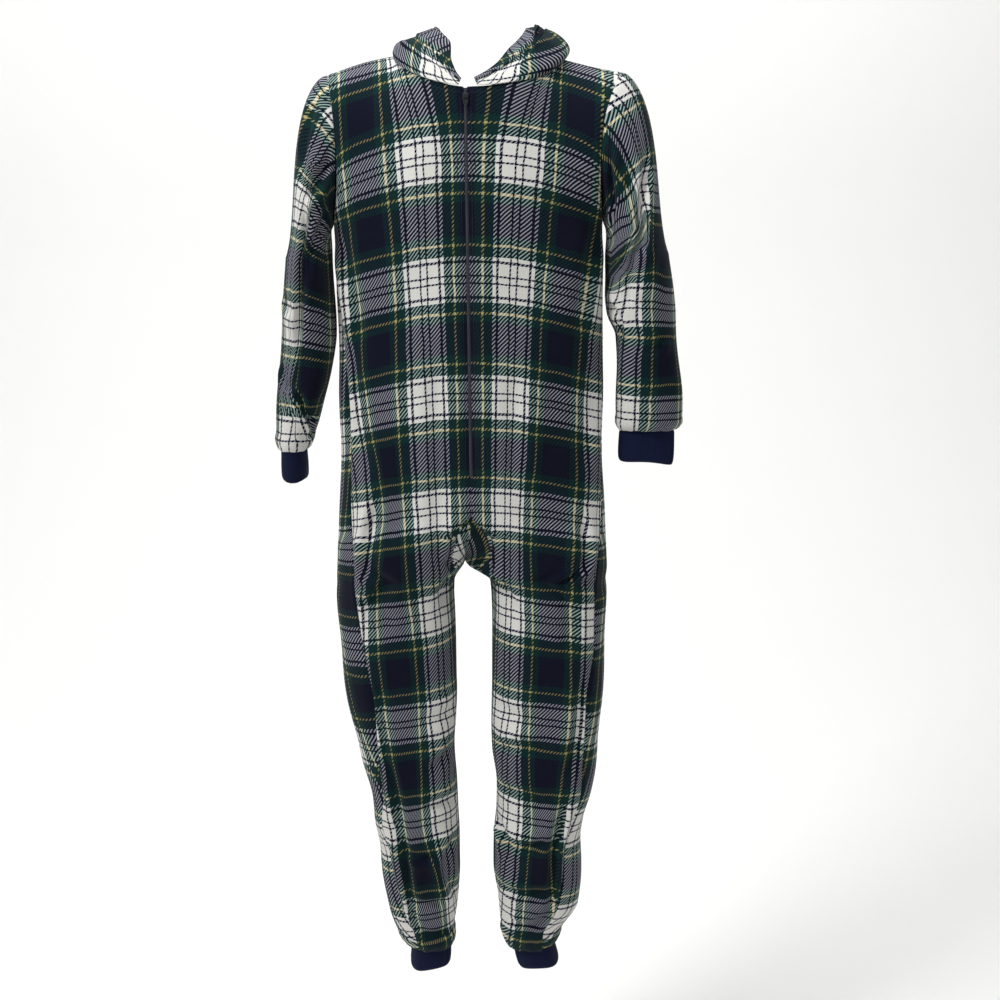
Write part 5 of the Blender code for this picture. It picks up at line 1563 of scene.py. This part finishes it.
def build_backdrop(style):
    """A floor that sweeps up into a wall behind."""
    profile = [(FLOOR_FRONT, FLOOR), (SWEEP_START, FLOOR)]
    for i in range(1, SWEEP_STEPS + 1):
        angle = math.pi / 2 * i / SWEEP_STEPS
        across, up = SWEEP_RADIUS * math.sin(angle), SWEEP_RADIUS * (1 - math.cos(angle))
        profile.append((SWEEP_START + across, FLOOR + up))
    profile.append((SWEEP_START + SWEEP_RADIUS, WALL_TOP))
    verts = [(x, y, z) for x in (-FLOOR_HALF, FLOOR_HALF) for y, z in profile]
    count = len(profile)
    faces = [(i, i + count, i + 1 + count, i + 1) for i in range(count - 1)]
    backdrop = place("backdrop", smooth_mesh("backdrop", verts, faces), paper_material(style))


def build_lights(scene):
    """Soft lamps, and a little light from all round."""
    for lamp in LAMPS:
        light = bpy.data.lights.new(lamp.name, "AREA")
        light.size, light.energy = lamp.size, lamp.power
        item = bpy.data.objects.new(lamp.name, light)
        item.location = lamp.spot
        item.rotation_euler = Matrix(look_along(np.subtract(lamp.aim, lamp.spot))).to_euler()
        scene.collection.objects.link(item)
    world = bpy.data.worlds.new("Studio air")
    world.use_nodes = True
    air = world.node_tree.nodes["Background"].inputs
    air["Color"].default_value, air["Strength"].default_value = (1, 1, 1, 1), AIR_LIGHT
    scene.world = world


def build_camera(scene):
    """The camera, in front of the chest and looking a little down at the middle."""
    lens = bpy.data.cameras.new("Camera")
    lens.lens, lens.sensor_width = LENS, SENSOR
    camera = bpy.data.objects.new("Camera", lens)
    tilt = Matrix.Rotation(math.radians(CAMERA_TILT), 4, "X")
    roll = Matrix.Rotation(math.radians(CAMERA_ROLL), 4, "Z")
    camera.matrix_world = Matrix.Translation(CAMERA_SPOT) @ tilt @ roll
    scene.collection.objects.link(camera)
    scene.camera = camera
    scene.view_settings.view_transform = "Standard"


def look_along(direction):
    """Axes of a lamp that shines along a direction."""
    back = -unit(np.asarray(direction, float))
    right = unit(np.cross((0, 0, 1), back))
    return np.transpose([right, np.cross(back, right), back]).tolist()


# ---------------------------------------------------------------- the add-on


def colour_property(name, description, value):
    """A colour given as sRGB hex."""
    return bpy.props.FloatVectorProperty(
        name=name, description=description, subtype="COLOR", size=4, min=0, max=1, default=srgb(value)
    )


def length_property(name, description, value, least):
    """A length given in mm and held in metres."""
    return bpy.props.FloatProperty(
        name=name, description=description, default=value * MM, min=least * MM, unit="LENGTH", precision=4
    )


def count_property(name, description, value, least):
    """A whole number of rows, columns or ribs."""
    return bpy.props.IntProperty(name=name, description=description, default=value, min=least)


class ONESIE_style(bpy.types.PropertyGroup):
    """The onesie's sizes and colours"""

    wall: length_property("Fleece thickness", "Thickness of the fleece", 1.9, 0.5)
    cloth_pitch: length_property("Cloth pitch", "Spacing of the cloth's mesh up the body", 3.9, 2.0)
    panel_columns: count_property("Panel columns", "Mesh columns across a front or back", 76, 16)
    stitch_pitch: length_property("Stitch pitch", "Length of one stitch", 3.2, 1.0)
    stroke_pitch: length_property("Stroke pitch", "Diagonal strokes' spacing along a thread", 5.6, 1.0)
    cuff_ribs: count_property("Cuff ribs", "Ribs round each cuff", 72, 8)
    cuff_columns: count_property("Cuff columns", "Mesh columns round a cuff", 288, 32)
    rib_depth: length_property("Rib depth", "Depth of the cuffs' ribs", 0.5, 0.0)
    tooth_pitch: length_property("Tooth pitch", "Spacing of the zip's teeth", 1.5, 0.5)
    white: colour_property("White", "Off-white print", "#d5d4cf")
    yellow: colour_property("Yellow", "Straw yellow print", "#a89d6c")
    green: colour_property("Green", "Dark green print", "#0a2828")
    navy: colour_property("Navy", "Dark navy print", "#0c0f20")
    cuff: colour_property("Cuffs", "Navy rib knit", "#131a39")
    zip_cloth: colour_property("Zip cloth", "Zip tape and coil", "#141727")
    zip_metal: colour_property("Zip metal", "Slider and pull", "#2b2c30")
    thread: colour_property("Thread", "Sewing thread", "#161b2c")
    paper: colour_property("Backdrop", "Studio paper", "#f2f2f0")


class ONESIE_OT_body(bpy.types.Operator):
    """Makes the fronts and backs"""

    bl_idname = "onesie.body"
    bl_label = "Body panels"

    def execute(self, context):
        for side in ("left", "right"):
            for face in ("front", "back"):
                body_panel(side, face, context.scene.onesie)
        return {"FINISHED"}


class ONESIE_OT_sleeves(bpy.types.Operator):
    """Makes both sleeves"""

    bl_idname = "onesie.sleeves"
    bl_label = "Sleeves"

    def execute(self, context):
        for side in ("left", "right"):
            sleeve_panel(side, context.scene.onesie)
        return {"FINISHED"}


class ONESIE_OT_hood(bpy.types.Operator):
    """Makes both halves of the lowered hood"""

    bl_idname = "onesie.hood"
    bl_label = "Hood"

    def execute(self, context):
        for side in ("left", "right"):
            hood_panel(side, context.scene.onesie)
        return {"FINISHED"}


class ONESIE_OT_cuffs(bpy.types.Operator):
    """Makes the four rib cuffs"""

    bl_idname = "onesie.cuffs"
    bl_label = "Rib cuffs"

    def execute(self, context):
        for name in CUFFS:
            cuff_piece(name, context.scene.onesie)
        return {"FINISHED"}


class ONESIE_OT_zip(bpy.types.Operator):
    """Makes the zip's coil and finishes its tapes, slider and pull"""

    bl_idname = "onesie.zip"
    bl_label = "Zip"

    def execute(self, context):
        style = context.scene.onesie
        zip_coil(style)
        for name in ("zip_tape_left", "zip_tape_right"):
            dress_node(name, tape_material(style))
        for name in ("zip_slider", "zip_pull"):
            dress_node(name, metal_material(style))
        return {"FINISHED"}


class ONESIE_OT_stage(bpy.types.Operator):
    """Sets a seamless pale backdrop, soft lights and the camera"""

    bl_idname = "onesie.stage"
    bl_label = "Stage"

    def execute(self, context):
        build_backdrop(context.scene.onesie)
        build_lights(context.scene)
        build_camera(context.scene)
        return {"FINISHED"}


class ONESIE_PT_panel(bpy.types.Panel):
    """Shows the onesie's settings and a button for each step"""

    bl_idname = "ONESIE_PT_panel"
    bl_label = "Fleece onesie"
    bl_space_type = "VIEW_3D"
    bl_region_type = "UI"
    bl_category = "Onesie"

    def draw(self, context):
        style = context.scene.onesie
        for name in style.__annotations__:
            self.layout.prop(style, name)
        for kind in OPERATORS:
            self.layout.operator(kind.bl_idname)


OPERATORS = (
    ONESIE_OT_body,
    ONESIE_OT_sleeves,
    ONESIE_OT_hood,
    ONESIE_OT_cuffs,
    ONESIE_OT_zip,
    ONESIE_OT_stage,
)
CLASSES = (ONESIE_style, *OPERATORS, ONESIE_PT_panel)


def register():
    for kind in CLASSES:
        bpy.utils.register_class(kind)
    bpy.types.Scene.onesie = bpy.props.PointerProperty(type=ONESIE_style)


def unregister():
    del bpy.types.Scene.onesie
    for kind in reversed(CLASSES):
        bpy.utils.unregister_class(kind)


def main():
    register()
    bpy.ops.onesie.body()
    bpy.ops.onesie.sleeves()
    bpy.ops.onesie.hood()
    bpy.ops.onesie.cuffs()
    bpy.ops.onesie.zip()
    bpy.ops.onesie.stage()


if __name__ == "__main__":
    main()
